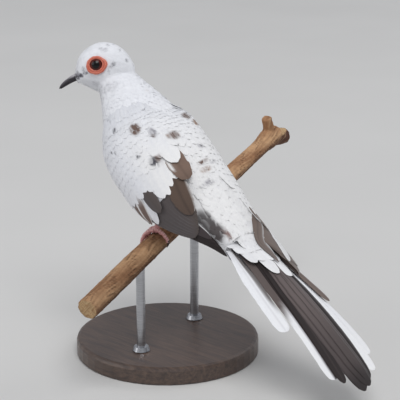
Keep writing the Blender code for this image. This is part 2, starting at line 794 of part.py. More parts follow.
def build_bill(head, where):
    matrix = head_matrix() @ Matrix.Translation(Vector(BILL_PLACE) * MM) @ Matrix.Rotation(BILL_DROP, 4, "Y")
    shares = [-0.18, 0.0, 0.15, 0.3, 0.45, 0.6, 0.74, 0.86, 0.95, 1.0]
    upper = loft("bill_upper", [bill_ring(t, True) for t in shares], where, "bill_horn", matrix)
    lower = loft("bill_lower", [bill_ring(t * (0.93 if t > 0 else 1.0), False) for t in shares], where,
                 "bill_horn", matrix)
    for side in (LEFT, RIGHT):
        turn = Matrix.Rotation(math.radians(-12.0), 3, "Y")
        slit = ball("nostril", (2.6, side * 1.62, 0.75), 0.5, where, None, matrix, (2.2, 0.9, 0.75), turn,
                    10, 6)
        boolean(upper, [slit], "DIFFERENCE")
    boolean(head, [grown(upper, GAP * 0.99)], "DIFFERENCE")
    boolean(head, [grown(lower, GAP * 0.99)], "DIFFERENCE")
    return upper, lower


def perch_axis():
    flat = math.cos(PERCH_RISE)
    return Vector((math.sin(PERCH_SKEW) * flat, math.cos(PERCH_SKEW) * flat, math.sin(PERCH_RISE)))


def perch_point(t):
    """Middle of the perch at t mm from the left foot, with the slight bends of a grown branch."""
    t = float(t)
    side, up, _ = frame_along(perch_axis())
    free = min(1.0, abs(t - 9.0) / 30.0)
    bend = 0.5 * math.sin(0.045 * t + 0.4) * free
    sway = 0.6 * math.sin(0.031 * t + 2.0) * free
    return Vector(PERCH_UNDER_FOOT) + perch_axis() * t + up * bend + side * sway


def perch_radius(t):
    return PERCH_RADIUS * (1.0 - 0.0010 * (t + 10.0))


def build_perch(where):
    """Cut length of branch, ending in the stubs of a fork."""
    path, radii = [], []
    for t in np.linspace(PERCH_NEAR, PERCH_FAR, 28):
        knob = 1.3 * math.exp(-((t - PERCH_FORK) / 7.0) ** 2)
        path.append(perch_point(t))
        radii.append(perch_radius(t) + knob + 0.12 * math.sin(t * 0.9) * min(1.0, abs(t - 9.0) / 20.0))
    perch = tube("perch", path, radii, where, "bark", 4)
    fork = perch_point(PERCH_FORK)
    side, up, along = frame_along(perch_axis())
    thick = tube("fork", [fork - along * 2, fork + along * 7 - up * 3.0 + side * 1.0,
                          fork + along * 17 - up * 7.5 + side * 2.0], [4.9, 4.7, 4.4], where, "bark", 3)
    thin = tube("twig", [fork, fork + up * 6 - along * 0.5, fork + up * 11.5 - along * 1.5],
                [3.4, 2.9, 2.6], where, "bark", 3)
    boolean(perch, [thick, thin], "UNION")
    return perch


def foot_place(side):
    """Share of the perch under a foot: its middle, the way forward, the way up and the perch's own axis."""
    t = 0.0 if side == LEFT else (2.0 * FOOT_SPREAD / math.cos(PERCH_SKEW) / math.cos(PERCH_RISE))
    axis = perch_axis()
    across, up, _ = frame_along(axis)
    ahead = across if across.x < 0 else -across
    return perch_point(t), ahead, up, axis, perch_radius(t)


def toe_path(side, start, end, begin, finish, steps):
    centre, ahead, up, axis, radius = foot_place(side)
    reach = radius + 0.45 + TOE_RADIUS
    points = []
    for k in range(steps):
        share = k / (steps - 1)
        angle = math.radians(start + (end - start) * share)
        drift = begin + (finish - begin) * share
        rise = 0.35 * abs(math.sin(math.pi * share * 3.0))
        round_perch = ahead * math.sin(angle) + up * math.cos(angle)
        points.append(centre + round_perch * (reach + rise) + axis * drift)
    return points


def build_foot(side, where):
    """Three toes over the front of the perch and one behind it, each ending in a claw."""
    name = SIDE_NAMES[side]
    centre, ahead, up, axis, radius = foot_place(side)
    palm_place = centre + up * (radius + 0.45 + 1.15)
    foot = ball(f"foot_{name}", palm_place, 1.55, where, "leg_skin", None, (1.2, 1.2, 0.9), None, 10, 7)
    toes = (
        (-6, 118, 0.0, 0.6, 9),
        (4, 98, 1.0, 3.9, 8),
        (4, 92, -1.0, -3.6, 8),
        (-2, -78, -0.3, -0.8, 7),
    )
    joined = []
    for number, (start, end, begin, finish, steps) in enumerate(toes):
        path = toe_path(side, start, end, begin, finish, steps)
        radii = [TOE_RADIUS * (1.08 if k % 2 else 0.94) for k in range(steps)]
        radii[-1] = TOE_RADIUS * 0.8
        joined.append(tube(f"toe_{number}", path, radii, where, "leg_skin", 1))
        way = (path[-1] - path[-2]).normalized()
        out = (path[-1] - centre - axis * (path[-1] - centre).dot(axis)).normalized()
        claw = [path[-1] - way * 0.6 + out * 0.1, path[-1] + way * 0.9 + out * 0.35,
                path[-1] + way * 2.0 + out * 0.35, path[-1] + way * 2.9 + out * 0.0]
        joined.append(tube(f"claw_{number}", claw, [0.66, 0.54, 0.38, 0.16], where, "leg_skin", 1))
    boolean(foot, joined, "UNION")
    return foot


def thigh_place(side):
    return Vector((14.0, -9.2, -7.9)) if side == LEFT else Vector((12.5, 9.2, -6.6))


def build_leg(side, torso, foot, where):
    """Feathered thigh under the belly and the short bare shank from it to the foot."""
    name = SIDE_NAMES[side]
    turn = Matrix.Rotation(math.radians(20.0), 3, "Y")
    thigh = ball(f"thigh_{name}", thigh_place(side), 5.9, where, "white_plumage", body_matrix(),
                 (1.25, 0.86, 0.94), turn, 16, 9)
    boolean(torso, [grown(thigh)], "DIFFERENCE")
    centre, ahead, up, axis, radius = foot_place(side)
    low = centre + up * (radius + 0.45 + 1.0)
    high = (body_matrix() @ (thigh_place(side) * MM)) / MM
    way = (high - low).normalized()
    path = [low - way * 0.5, low + way * 1.5, low + (high - low) * 0.5, high - way * 2.0]
    radii = [TARSUS_RADIUS * share for share in (1.1, 1.0, 1.0, 1.1)]
    leg = tube(f"leg_{name}", path, radii, where, "leg_skin", 3)
    boolean(leg, [grown(foot)], "DIFFERENCE")
    boolean(leg, [grown(thigh)], "DIFFERENCE")
    clearance = tube("clearance", path, [radius + GAP / MM for radius in radii], where, "leg_skin", 3)
    boolean(torso, [clearance], "DIFFERENCE")
    boolean(torso, [grown(foot)], "DIFFERENCE")
    return thigh, leg


def build_stand(perch, where):
    """Round base turned from a profile, and two rods up to the perch."""
    profile = ((0.0, 0.0), (BASE_RADIUS - 0.6, 0.0), (BASE_RADIUS, 0.6), (BASE_RADIUS, BASE_THICKNESS - 1.6),
               (BASE_RADIUS - 0.5, BASE_THICKNESS - 0.5), (BASE_RADIUS - 1.6, BASE_THICKNESS),
               (0.0, BASE_THICKNESS))
    mesh = bpy.data.meshes.new("stand_base")
    points = [(r * MM, 0.0, z * MM) for r, z in reversed(profile)]
    mesh.from_pydata(points, [(i, i + 1) for i in range(len(points) - 1)], [])
    base = bpy.data.objects.new("stand_base", mesh)
    where.objects.link(base)
    base.data.materials.append(material("stand_wood"))
    turned = base.modifiers.new("turned", "SCREW")
    turned.steps = turned.render_steps = 48
    turned.use_merge_vertices = True
    turned.merge_threshold = 0.00005
    base = applied(base)
    rods = []
    for number, t in enumerate((9.4 - ROD_SPREAD, 9.4 + ROD_SPREAD), 1):
        top = perch_point(t)
        low = BASE_THICKNESS + GAP / MM
        tall = top.z - 1.0 - low
        bm = bmesh.new()
        bmesh.ops.create_cone(bm, cap_ends=True, segments=24, radius1=ROD_RADIUS, radius2=ROD_RADIUS,
                              depth=tall)
        bmesh.ops.translate(bm, vec=(top.x, top.y, low + tall / 2.0), verts=bm.verts)
        rod = body_from(f"stand_rod_{number}", bm, where, "stand_steel")
        bm = bmesh.new()
        bmesh.ops.create_cone(bm, cap_ends=True, segments=24, radius1=ROD_RADIUS + 2.0,
                              radius2=ROD_RADIUS + 1.2, depth=1.8)
        bmesh.ops.translate(bm, vec=(top.x, top.y, low + 0.9), verts=bm.verts)
        boolean(rod, [body_from("foot_plate", bm, where)], "UNION")
        boolean(rod, [grown(perch)], "DIFFERENCE")
        rods.append(rod)
    return base, rods


def build():
    clear_scene()
    where = make_collection(COLLECTION)
    cutters = make_collection(CUTTERS)
    cutters.hide_render = True
    torso = build_torso(where)
    head, neck = build_head_and_neck(where)
    for side in (LEFT, RIGHT):
        build_eye(side, head, where)
    build_bill(head, where)
    tail = build_tail(where)
    for side in (LEFT, RIGHT):
        wing = build_wing(side, where)
        for other in (tail, torso, neck):
            boolean(wing, [grown(other)], "DIFFERENCE")
    perch = build_perch(where)
    for side in (LEFT, RIGHT):
        foot = build_foot(side, where)
        build_leg(side, torso, foot, where)
    build_stand(perch, where)
    for obj in where.objects:
        smooth(obj)


def main():
    build()


main()
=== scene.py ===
"""Looks of a life-size diamond dove in pied white plumage, gripping a cut branch on a display stand.

One skin covers head, neck, torso and thighs, and every feather over it is a thin closed vane laid along the
flow of the plumage. Lengths are millimetres in the tables and metres in the meshes.
"""

import logging
import math
from collections.abc import Callable
from dataclasses import dataclass, field, replace
from enum import Enum

import bpy
import numpy as np
from bpy.types import Material, Mesh, Node, NodeSocket, Object
from mathutils import Matrix, Vector, kdtree
from mathutils.bvhtree import BVHTree


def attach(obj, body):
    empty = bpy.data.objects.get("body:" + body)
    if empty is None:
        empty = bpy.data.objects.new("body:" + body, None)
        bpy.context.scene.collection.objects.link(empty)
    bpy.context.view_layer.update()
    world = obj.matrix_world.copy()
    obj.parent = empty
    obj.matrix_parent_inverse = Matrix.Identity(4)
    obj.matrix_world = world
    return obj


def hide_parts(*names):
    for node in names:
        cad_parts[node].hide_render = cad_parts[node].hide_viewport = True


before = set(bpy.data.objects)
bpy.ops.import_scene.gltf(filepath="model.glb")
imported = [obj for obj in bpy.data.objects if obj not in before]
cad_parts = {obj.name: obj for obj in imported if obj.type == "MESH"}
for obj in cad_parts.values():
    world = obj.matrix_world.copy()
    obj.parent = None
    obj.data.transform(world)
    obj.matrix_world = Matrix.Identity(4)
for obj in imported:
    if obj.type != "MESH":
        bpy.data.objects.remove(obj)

MM = 0.001
WELD_GAP = 0.000005
LOG = logging.getLogger("dove")
Array = np.ndarray
Colour = tuple[float, float, float]
Place = tuple[float, float, float]


class Side(Enum):
    """The bird's own sides; the value is the sign of their direction across the body."""

    LEFT = -1
    RIGHT = 1

    @property
    def label(self) -> str:
        """Name used in pieces."""
        return self.name.lower()


def tint(red: float, green: float, blue: float) -> Colour:
    """Linear colour from one given as 0 to 255.

    Args:
        red, green, blue: The screen values.

    Returns:
        The same colour, linear.
    """
    def linear(value: float) -> float:
        """One channel, linear."""
        share = value / 255.0
        return share / 12.92 if share <= 0.04045 else ((share + 0.055) / 1.055) ** 2.4

    return linear(red), linear(green), linear(blue)


WHITE = tint(236, 237, 241)
WARM_WHITE = tint(240, 239, 238)
COOL_SHADE = tint(206, 210, 222)
BROWN = tint(112, 92, 84)
WARM_BROWN = tint(150, 122, 104)
SOFT_GREY = tint(158, 156, 162)
SLATE = tint(72, 72, 80)
DARK = tint(84, 76, 74)
BLACKISH = tint(36, 30, 31)


def ramp(low: float, high: float, value: Array) -> Array:
    """Smooth ramp from 0 at low to 1 at high."""
    share = np.clip((np.asarray(value, float) - low) / (high - low), 0.0, 1.0)
    return share * share * (3.0 - 2.0 * share)


def unit(vectors: Array) -> Array:
    """Vectors of length one along the last axis."""
    return vectors / np.maximum(np.linalg.norm(vectors, axis=-1, keepdims=True), 1e-9)


def blend(first: Colour | Array, second: Colour | Array, share: Array) -> Array:
    """Two colours mixed by a share at each place."""
    share = np.clip(share, 0.0, 1.0)[..., None]
    return np.array(first) * (1.0 - share) + np.array(second) * share


def spline(table: tuple, at: Array) -> Array:
    """Smooth value of every column of a table.

    Args:
        table: Rows with the place in the first column.
        at: Places, of any shape.

    Returns:
        An array with one more axis, the columns.
    """
    rows = np.array(table, dtype=float)
    xs = rows[:, 0]
    at = np.clip(np.asarray(at, float), xs[0], xs[-1])
    slopes = np.zeros_like(rows)
    last = len(xs) - 1
    for i in range(len(xs)):
        low, high = max(i - 1, 0), min(i + 1, last)
        slopes[i] = (rows[high] - rows[low]) / (xs[high] - xs[low])
    k = np.clip(np.searchsorted(xs, at) - 1, 0, last - 1)
    step = (xs[k + 1] - xs[k])[..., None]
    t = (at - xs[k])[..., None] / step
    a, b = 2 * t**3 - 3 * t**2 + 1, t**3 - 2 * t**2 + t
    c, d = -2 * t**3 + 3 * t**2, t**3 - t**2
    return a * rows[k] + b * step * slopes[k] + c * rows[k + 1] + d * step * slopes[k + 1]


@dataclass(frozen=True)
class Stance:
    """Where the bird's body and head stand in the room."""

    body_centre: Place = (0.0, 0.0, 0.0850)
    body_pitch: float = math.radians(36.2)
    head_centre: Place = (-0.0335, -0.0030, 0.1285)
    head_scale: float = 1.07
    head_turn: float = math.radians(48.0)

    def body(self) -> Matrix:
        """From the body's frame to the room's."""
        return Matrix.Translation(self.body_centre) @ Matrix.Rotation(self.body_pitch, 4, "Y")

    def head(self) -> Matrix:
        """From the head's frame to the room's."""
        turn = Matrix.Rotation(math.pi + self.head_turn, 4, "Z")
        return Matrix.Translation(self.head_centre) @ turn @ Matrix.Scale(self.head_scale, 4)


STANCE = Stance()


def place(matrix: Matrix, points: Array) -> Array:
    """Points in millimetres of a frame, moved to the room, in millimetres.

    Args:
        matrix: The frame's matrix, in metres.
        points: Array whose last axis is x, y, z.

    Returns:
        The moved points.
    """
    m = np.array(matrix, float)
    return np.asarray(points, float) @ m[:3, :3].T + m[:3, 3] / MM


@dataclass(frozen=True)
class StudioCamera:
    """The photograph's viewpoint."""

    target: Place = (0.0201, 0.0, 0.0760)
    azimuth: float = math.radians(42.0)
    elevation: float = math.radians(16.0)
    distance: float = 0.600
    view_width: float = 0.176
    sensor: float = 36.0
    image: int = 400

    def back(self) -> Vector:
        """Direction from the target to the camera."""
        level, rise = math.cos(self.elevation), math.sin(self.elevation)
        return Vector((math.sin(self.azimuth) * level, -math.cos(self.azimuth) * level, rise))

    def build(self) -> None:
        """Adds the camera and makes it the scene's."""
        bpy.ops.object.camera_add(location=Vector(self.target) + self.back() * self.distance)
        camera = bpy.context.active_object
        camera.name = "camera"
        camera.rotation_euler = self.back().to_track_quat("Z", "Y").to_euler()
        camera.data.sensor_width = self.sensor
        camera.data.lens = self.sensor * self.distance / self.view_width
        camera.data.clip_start, camera.data.clip_end = 0.01, 30.0
        bpy.context.scene.camera = camera

    def ray(self, across: float, down: float) -> tuple[Vector, Vector]:
        """Start and direction, in millimetres, of the sight line through a place in the frame.

        Args:
            across, down: The place in a frame of 400 by 400.

        Returns:
            The camera's place and the line's direction.
        """
        back = self.back()
        right = Vector((0.0, 0.0, 1.0)).cross(back).normalized()
        up = back.cross(right)
        half = self.image / 2.0
        spread = self.view_width / self.distance / 2.0
        way = -back + right * ((across - half) / half * spread) + up * ((half - down) / half * spread)
        start = (Vector(self.target) + back * self.distance) / MM
        return start, way.normalized()


CAMERA = StudioCamera()


def deselect() -> None:
    """Leaves nothing selected and nothing active."""
    for obj in list(bpy.context.selected_objects):
        obj.select_set(False)
    bpy.context.view_layer.objects.active = None


def choose(*objects: Object) -> None:
    """Selects these objects alone, the first one active.

    Args:
        objects: The objects.
    """
    deselect()
    for obj in objects:
        obj.select_set(True)
    bpy.context.view_layer.objects.active = objects[0]


def apply_modifiers(obj: Object) -> None:
    """Applies an object's modifiers in their order.

    Args:
        obj: The object.
    """
    choose(obj)
    for modifier in list(obj.modifiers):
        bpy.ops.object.modifier_apply(modifier=modifier.name)


def added(name: str, mesh: Mesh) -> Object:
    """A new object in the scene.

    Args:
        name: Its name.
        mesh: Its mesh.

    Returns:
        The object.
    """
    obj = bpy.data.objects.new(name, mesh)
    bpy.context.scene.collection.objects.link(obj)
    return obj


def cad_copy(name: str, node: str) -> Object:
    """A copy of a CAD node, with its doubles merged by a modifier.

    Args:
        name: The copy's name.
        node: The node's name.

    Returns:
        The copy.
    """
    obj = added(name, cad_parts[node].data.copy())
    obj.modifiers.new("weld", "WELD").merge_threshold = WELD_GAP
    return obj


def remesh(obj: Object, voxel: float, turns: int) -> None:
    """Turns a shape into one closed, even skin and applies all its modifiers.

    Args:
        obj: The shape.
        voxel: Size of the skin's faces, in millimetres.
        turns: How many times it is smoothed.
    """
    grid = obj.modifiers.new("remesh", "REMESH")
    grid.mode = "VOXEL"
    grid.voxel_size = voxel * MM
    soften = obj.modifiers.new("soften", "SMOOTH")
    soften.factor, soften.iterations = 0.5, turns
    apply_modifiers(obj)


def joined(name: str, pieces: list[Object]) -> Object:
    """Several objects made one.

    Args:
        name: The name it gets.
        pieces: The objects.

    Returns:
        The one object.
    """
    choose(*pieces)
    bpy.ops.object.join()
    piece = bpy.context.active_object
    piece.name = name
    return piece


def points_of(mesh: Mesh) -> Array:
    """A mesh's vertices, in millimetres."""
    return np.array([vertex.co for vertex in mesh.vertices]) / MM


def normals_of(mesh: Mesh) -> Array:
    """A mesh's vertex normals."""
    return np.array([normal.vector for normal in mesh.vertex_normals])


def move_points(mesh: Mesh, points: Array) -> None:
    """Puts a mesh's vertices at points given in millimetres."""
    mesh.vertices.foreach_set("co", (points * MM).ravel())


def paint_points(mesh: Mesh, tones: Array) -> None:
    """Gives a mesh's vertices the tone that the finishes read.

    Args:
        mesh: The mesh.
        tones: A colour for each vertex, in any number of axes.
    """
    flat = np.clip(tones, 0.0, 1.0).reshape(-1, 3)
    attribute = mesh.attributes.new("tone", "FLOAT_COLOR", "POINT")
    attribute.data.foreach_set("color", np.pad(flat, ((0, 0), (0, 1)), constant_values=1.0).ravel())


def shade_smooth(mesh: Mesh) -> None:
    """Shades all faces as one round surface."""
    mesh.polygons.foreach_set("use_smooth", [True] * len(mesh.polygons))


def tree_of(piece: Object) -> BVHTree:
    """A piece's surface in millimetres, for finding places on it."""
    return BVHTree.FromPolygons([tuple(point) for point in points_of(piece.data)],
                                [tuple(face.vertices) for face in piece.data.polygons])


def finish_piece(obj: Object, material: Material, slot: str, *nodes: str) -> None:
    """Dresses a piece and ties it to the frame.

    Args:
        obj: The piece.
        material: Its finish.
        slot: The record's material slot; not used.
        nodes: CAD nodes it stands for.
    """
    obj.data.name = obj.name
    obj.data.materials.clear()
    obj.data.materials.append(material)
    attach(obj, "root")
    if nodes:
        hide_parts(*nodes)
    LOG.info("%s: %d faces", obj.name, len(obj.data.polygons))


@dataclass
class Finish:
    """A surface with its colour, gloss and relief; each finish adds its own nodes."""

    name: str = "finish"
    roughness: float = 0.7
    colour: Colour = (0.8, 0.8, 0.8)

    def build(self) -> Material:
        """Makes the material.

        Returns:
            The material.
        """
        material = bpy.data.materials.new(self.name)
        material.use_nodes = True
        self.tree = material.node_tree
        self.shader = self.tree.nodes["Principled BSDF"]
        self.set(self.shader, {"Roughness": self.roughness, "Base Color": (*self.colour, 1.0)})
        self.shade()
        return material

    def shade(self) -> None:
        """Adds what sets this finish apart."""

    @staticmethod
    def set(node: Node, values: dict[str, float | tuple[float, ...]]) -> None:
        """Sets a node's sockets, by name, to even values."""
        for name, value in values.items():
            node.inputs[name].default_value = value

    def noise(self, scale: float, detail: float, stretch: Place = (1.0, 1.0, 1.0),
              uv: str = "") -> NodeSocket:
        """Noise over the object's own coordinates or one of its UV maps.

        Args:
            scale: Noise scale, per metre.
            detail: Octaves.
            stretch: Scale along each axis.
            uv: Name of a UV map, or nothing for Object coordinates.

        Returns:
            The socket with the noise, from 0 to 1.
        """
        if uv:
            source = self.tree.nodes.new("ShaderNodeUVMap")
            source.uv_map = uv
            output = source.outputs["UV"]
        else:
            output = self.tree.nodes.new("ShaderNodeTexCoord").outputs["Object"]
        mapping = self.tree.nodes.new("ShaderNodeMapping")
        texture = self.tree.nodes.new("ShaderNodeTexNoise")
        self.set(mapping, {"Scale": stretch})
        self.set(texture, {"Scale": scale, "Detail": detail})
        self.tree.links.new(output, mapping.inputs["Vector"])
        self.tree.links.new(mapping.outputs["Vector"], texture.inputs["Vector"])
        return texture.outputs["Fac"]

    def bump(self, height: NodeSocket, distance: float, strength: float) -> None:
        """Relief from a height.

        Args:
            height: Socket with the height.
            distance: Depth of the relief in metres.
            strength: Share of it that shows.
        """
        node = self.tree.nodes.new("ShaderNodeBump")
        self.set(node, {"Distance": distance, "Strength": strength})
        self.tree.links.new(height, node.inputs["Height"])
        self.tree.links.new(node.outputs["Normal"], self.shader.inputs["Normal"])

    def mixed(self, first: Colour | NodeSocket, second: Colour, share: NodeSocket, how: str = "MIX",
              most: float = 1.0) -> NodeSocket:
        """Lays two colours on the surface, mixed by a noise whose middle part covers the whole range.

        Args:
            first: A colour, or the socket of one.
            second: What it is mixed with.
            share: Socket from 0 to 1.
            how: Blend type.
            most: Greatest share of the second colour.

        Returns:
            The mixed colour's socket.
        """
        factor, below, above, result = 0, 6, 7, 2
        ranged = self.tree.nodes.new("ShaderNodeMapRange")
        self.set(ranged, {"From Min": 0.3, "From Max": 0.7, "To Min": 0.0, "To Max": most})
        self.tree.links.new(share, ranged.inputs["Value"])
        mix = self.tree.nodes.new("ShaderNodeMix")
        mix.data_type, mix.blend_type = "RGBA", how
        self.tree.links.new(ranged.outputs["Result"], mix.inputs[factor])
        if isinstance(first, tuple):
            mix.inputs[below].default_value = (*first, 1.0)
        else:
            self.tree.links.new(first, mix.inputs[below])
        mix.inputs[above].default_value = (*second, 1.0)
        self.tree.links.new(mix.outputs[result], self.shader.inputs["Base Color"])
        return mix.outputs[result]

    def toned(self, shade: Colour, clouds: NodeSocket, most: float) -> None:
        """Colours the surface by its tone attribute.

        Args:
            shade: What darker clouds multiply the tone by.
            clouds: Socket with their noise.
            most: Greatest share of the shade.
        """
        tone = self.tree.nodes.new("ShaderNodeAttribute")
        tone.attribute_name = "tone"
        self.mixed(tone.outputs["Color"], shade, clouds, "MULTIPLY", most)


@dataclass
class PlumageFinish(Finish):
    """Feathers coloured by their own tone attribute, with a soft sheen and fine barbs."""

    name: str = "plumage"
    roughness: float = 0.82
    sheen: float = 0.2
    barb_depth: float = 0.00004

    def shade(self) -> None:
        """Adds faint mottling, sheen and barbs."""
        self.toned((0.86, 0.86, 0.88), self.noise(900.0, 4.0), 0.35)
        self.set(self.shader, {"Specular IOR Level": 0.25, "Sheen Weight": self.sheen,
                               "Sheen Roughness": 0.5})
        self.bump(self.noise(1.0, 2.0, (9.0, 60.0, 1.0), "Vane"), self.barb_depth, 0.6)


class Flow:
    """Direction in which the feathers lie: away from the bill on the head, away from the head on the body."""

    def __init__(self) -> None:
        """Finds the two springs of the flow."""
        self.head = place(STANCE.head(), (0.0, 0.0, 0.0))
        self.front = place(STANCE.head(), (17.0, 0.0, -2.5))
        self.neck = place(STANCE.head(), (1.0, 0.0, 4.0))

    def at(self, points: Array) -> Array:
        """Direction of the flow, before it is laid on the skin.

        Args:
            points: Room points.

        Returns:
            A unit vector at each.
        """
        away = np.linalg.norm(points - self.head, axis=-1, keepdims=True)
        share = ramp(9.0, 24.0, away)
        spring = self.front * (1.0 - share) + self.neck * share
        return unit(points - spring)


FLOW = Flow()
BODY_FROM_ROOM = STANCE.body().inverted()
HEAD_FROM_ROOM = STANCE.head().inverted()


def in_body(points: Array) -> Array:
    """Room points in the body's frame."""
    return place(BODY_FROM_ROOM, points)


def in_head(points: Array) -> Array:
    """Room points in the head's frame."""
    return place(HEAD_FROM_ROOM, points)


def above_neck(points: Array) -> Array:
    """How far points lie over the plane between neck and head, in millimetres."""
    lean, middle = math.radians(-38.0), np.array((-36.0, -3.0, 118.0))
    return (points - middle) @ np.array((math.sin(lean), 0.0, math.cos(lean)))


def lit_white_at(points: Array) -> Array:
    """White of the plumage with painted light: a cool, shaded white on the sides and a warmer, lit white
    along the back.

    Args:
        points: Room points.

    Returns:
        A colour for each.
    """
    body = in_body(points)
    return blend(WHITE, WARM_WHITE, ramp(2.0, 14.0, body[..., 2]) * ramp(-30.0, 10.0, body[..., 0]))


def coat_depth(points: Array) -> Array:
    """Depth of the plumage over the skin: thin on the face, deeper over the rump.

    Args:
        points: Room points.

    Returns:
        The depth at each.
    """
    away = np.linalg.norm(points - FLOW.head, axis=-1)
    deep = np.interp(away, (8.0, 13.0, 22.0, 40.0, 80.0, 110.0), (0.28, 0.32, 0.42, 0.55, 0.65, 0.8))
    face = ramp(4.0, 12.0, in_head(points)[..., 0])
    return deep * (1.0 - 0.35 * face)


@dataclass
class Skin:
    """One closed skin inside head, neck, torso and thighs, with a hollow for each eye's bare ring."""

    voxel: float = 0.5
    swell: float = 0.25
    bed_radius: float = 5.0
    bed_flatness: float = 0.26
    bed_depth: float = 1.25
    nodes: tuple[str, ...] = ("torso", "neck", "head", "thigh_left", "thigh_right")
    obj: Object | None = None
    tree: BVHTree | None = None
    points: Array | None = None
    normals: Array | None = None

    def build(self) -> None:
        """Grows the flesh nodes into one another, remeshes them and draws them in by the coat's depth."""
        copies = []
        for node in self.nodes:
            copy = cad_copy(f"flesh_{node}", node)
            grow = copy.modifiers.new("grow", "DISPLACE")
            grow.strength = self.swell * MM
            grow.mid_level = 0.0
            apply_modifiers(copy)
            copies.append(copy)
        flatten, sink = np.array((1.0, 1.0, self.bed_flatness)), np.array((0.0, 0.0, self.bed_depth))
        for side in Side:
            bpy.ops.mesh.primitive_uv_sphere_add(segments=48, ring_count=24, radius=self.bed_radius * MM)
            bed = bpy.context.active_object
            move_points(bed.data, place(Eye(side).outward(), points_of(bed.data) * flatten - sink))
            copies.append(bed)
        self.obj = joined("skin", copies)
        remesh(self.obj, self.voxel, 6)
        mesh = self.obj.data
        mesh.update()
        points = points_of(mesh)
        self.points = points - normals_of(mesh) * (coat_depth(points) + self.swell)[:, None]
        move_points(mesh, self.points)
        mesh.update()
        self.normals = normals_of(mesh)
        self.tree = tree_of(self.obj)

    def dress(self, markings: "Markings", finish: Material) -> None:
        """Colours the skin as the plumage over it.

        Args:
            markings: Darker patches.
            finish: Plumage material.
        """
        # The skin's base white carries painted light: cool shade on the sides, warm light along the back.
        paint_points(self.obj.data, markings.paint(self.points, lit_white_at(self.points)))
        shade_smooth(self.obj.data)
        finish_piece(self.obj, finish, "white_plumage", *self.nodes)


def vane_faces(rows: int, cols: int) -> list[tuple[int, ...]]:
    """Faces of one closed vane: a ring of points at each row, capped at root and tip.

    Args:
        rows: Rings along the vane.
        cols: Points across its upper side, the two rims among them.

    Returns:
        Faces as indices into rows of 2 * cols - 2 points, upper side first, then the underside backwards.
        Both sides are split along the same diagonals, so that they never cross.
    """
    ring = 2 * cols - 2
    faces = []
    under = [0, *range(ring - 1, cols - 1, -1), cols - 1]
    for r in range(rows - 1):
        a, b = r * ring, (r + 1) * ring
        for i in range(cols - 1):
            faces += [(a + i, b + i, b + i + 1), (a + i, b + i + 1, a + i + 1)]
            near, far = under[i], under[i + 1]
            faces += [(a + near, b + far, b + near), (a + near, a + far, b + far)]
    for r, turned in ((0, False), (rows - 1, True)):
        base = r * ring
        for i in range(cols - 1):
            corners = (i, i + 1, ring - i - 1, (ring - i) % ring)
            face = tuple(dict.fromkeys(base + corner for corner in corners))
            faces.append(face[::-1] if turned else face)
    return faces


@dataclass
class Vanes:
    """Many vanes of one make, as arrays: upper surface points, what they shade by, colours and UVs."""

    top: Array
    up: Array
    tone: Array
    root_uv: Array
    patch: float = 0.003
    thickness: float = 0.1

    def mesh(self, name: str, soft: float = 0.75) -> Object:
        """One joined mesh of all the vanes.

        Args:
            name: The piece's name.
            soft: Share of the plumage's own smooth normals in the shading.

        Returns:
            The new object.
        """
        count, rows, cols, _ = self.top.shape
        under = slice(-2, 0, -1)
        low = self.top[:, :, under] - self.up[:, :, under] * self.thickness
        points = np.concatenate((self.top, low), axis=2)
        # The underside is painted 8% darker than the top: painted shade under each vane.
        tone = np.concatenate((self.tone, self.tone[:, :, under] * 0.92), axis=2)
        facing = np.concatenate((self.up, -self.up[:, :, under]), axis=2)
        pattern = vane_faces(rows, cols)
        offset = np.arange(count) * rows * points.shape[2]
        loops = (np.concatenate([np.array(face) for face in pattern])[None, :] + offset[:, None]).ravel()
        sizes = np.tile(np.array([len(face) for face in pattern]), count)
        mesh = bpy.data.meshes.new(name)
        mesh.vertices.add(points.size // 3)
        move_points(mesh, points)
        mesh.loops.add(len(loops))
        mesh.loops.foreach_set("vertex_index", loops)
        mesh.polygons.add(len(sizes))
        mesh.polygons.foreach_set("loop_start", np.concatenate(((0,), np.cumsum(sizes)[:-1])))
        mesh.update(calc_edges=True)
        paint_points(mesh, tone)
        self.add_uvs(mesh, loops)
        shade_smooth(mesh)
        blended = unit(facing.reshape(-1, 3) * soft + normals_of(mesh) * (1.0 - soft))
        mesh.normals_split_custom_set_from_vertices([tuple(n) for n in blended])
        return added(name, mesh)

    def add_uvs(self, mesh: Mesh, loops: Array) -> None:
        """Adds the map for baking and the one the barbs follow.

        Args:
            mesh: The mesh.
            loops: Vertex of each loop.
        """
        across, along = (np.linspace(-0.5, 0.5, count) for count in self.top.shape[2:0:-1])
        across = np.concatenate((across, across[-2:0:-1]))
        local = np.stack(np.broadcast_arrays(across[None, :], along[:, None]), axis=-1)[None]
        root = self.root_uv[:, None, None, :]
        for label, values in (("OFBake", root + local * self.patch), ("Vane", local + 0.5 + root * 7.0)):
            layer = mesh.uv_layers.new(name=label)
            layer.data.foreach_set("uv", values.reshape(-1, 2)[loops].ravel())


def vane_widths(t: Array, full: float = 0.45, tip: float = 0.72, blunt: float = 0.25) -> Array:
    """Half width of a vane along its length, as a share of its greatest.

    Args:
        t: Shares of the length.
        full: Where it reaches its width.
        tip: Where the tip starts to round off.
        blunt: Width left at the very end.

    Returns:
        The shares of the width.
    """
    rise = 0.45 + 0.55 * ramp(0.0, full, t)
    fall = np.sqrt(np.clip(1.0 - np.clip((t - tip) / (1.0 - tip), 0.0, 1.0) ** 2, 0.0, 1.0))
    return rise * (blunt + (1.0 - blunt) * fall)


@dataclass(frozen=True)
class Mark:
    """A soft darker patch seen at a place in the frame: most are darker feathers, the ones under the jaw a
    painted shadow.
    """

    across: float
    down: float
    length: float
    width: float
    colour: Colour = BROWN
    strength: float = 0.8


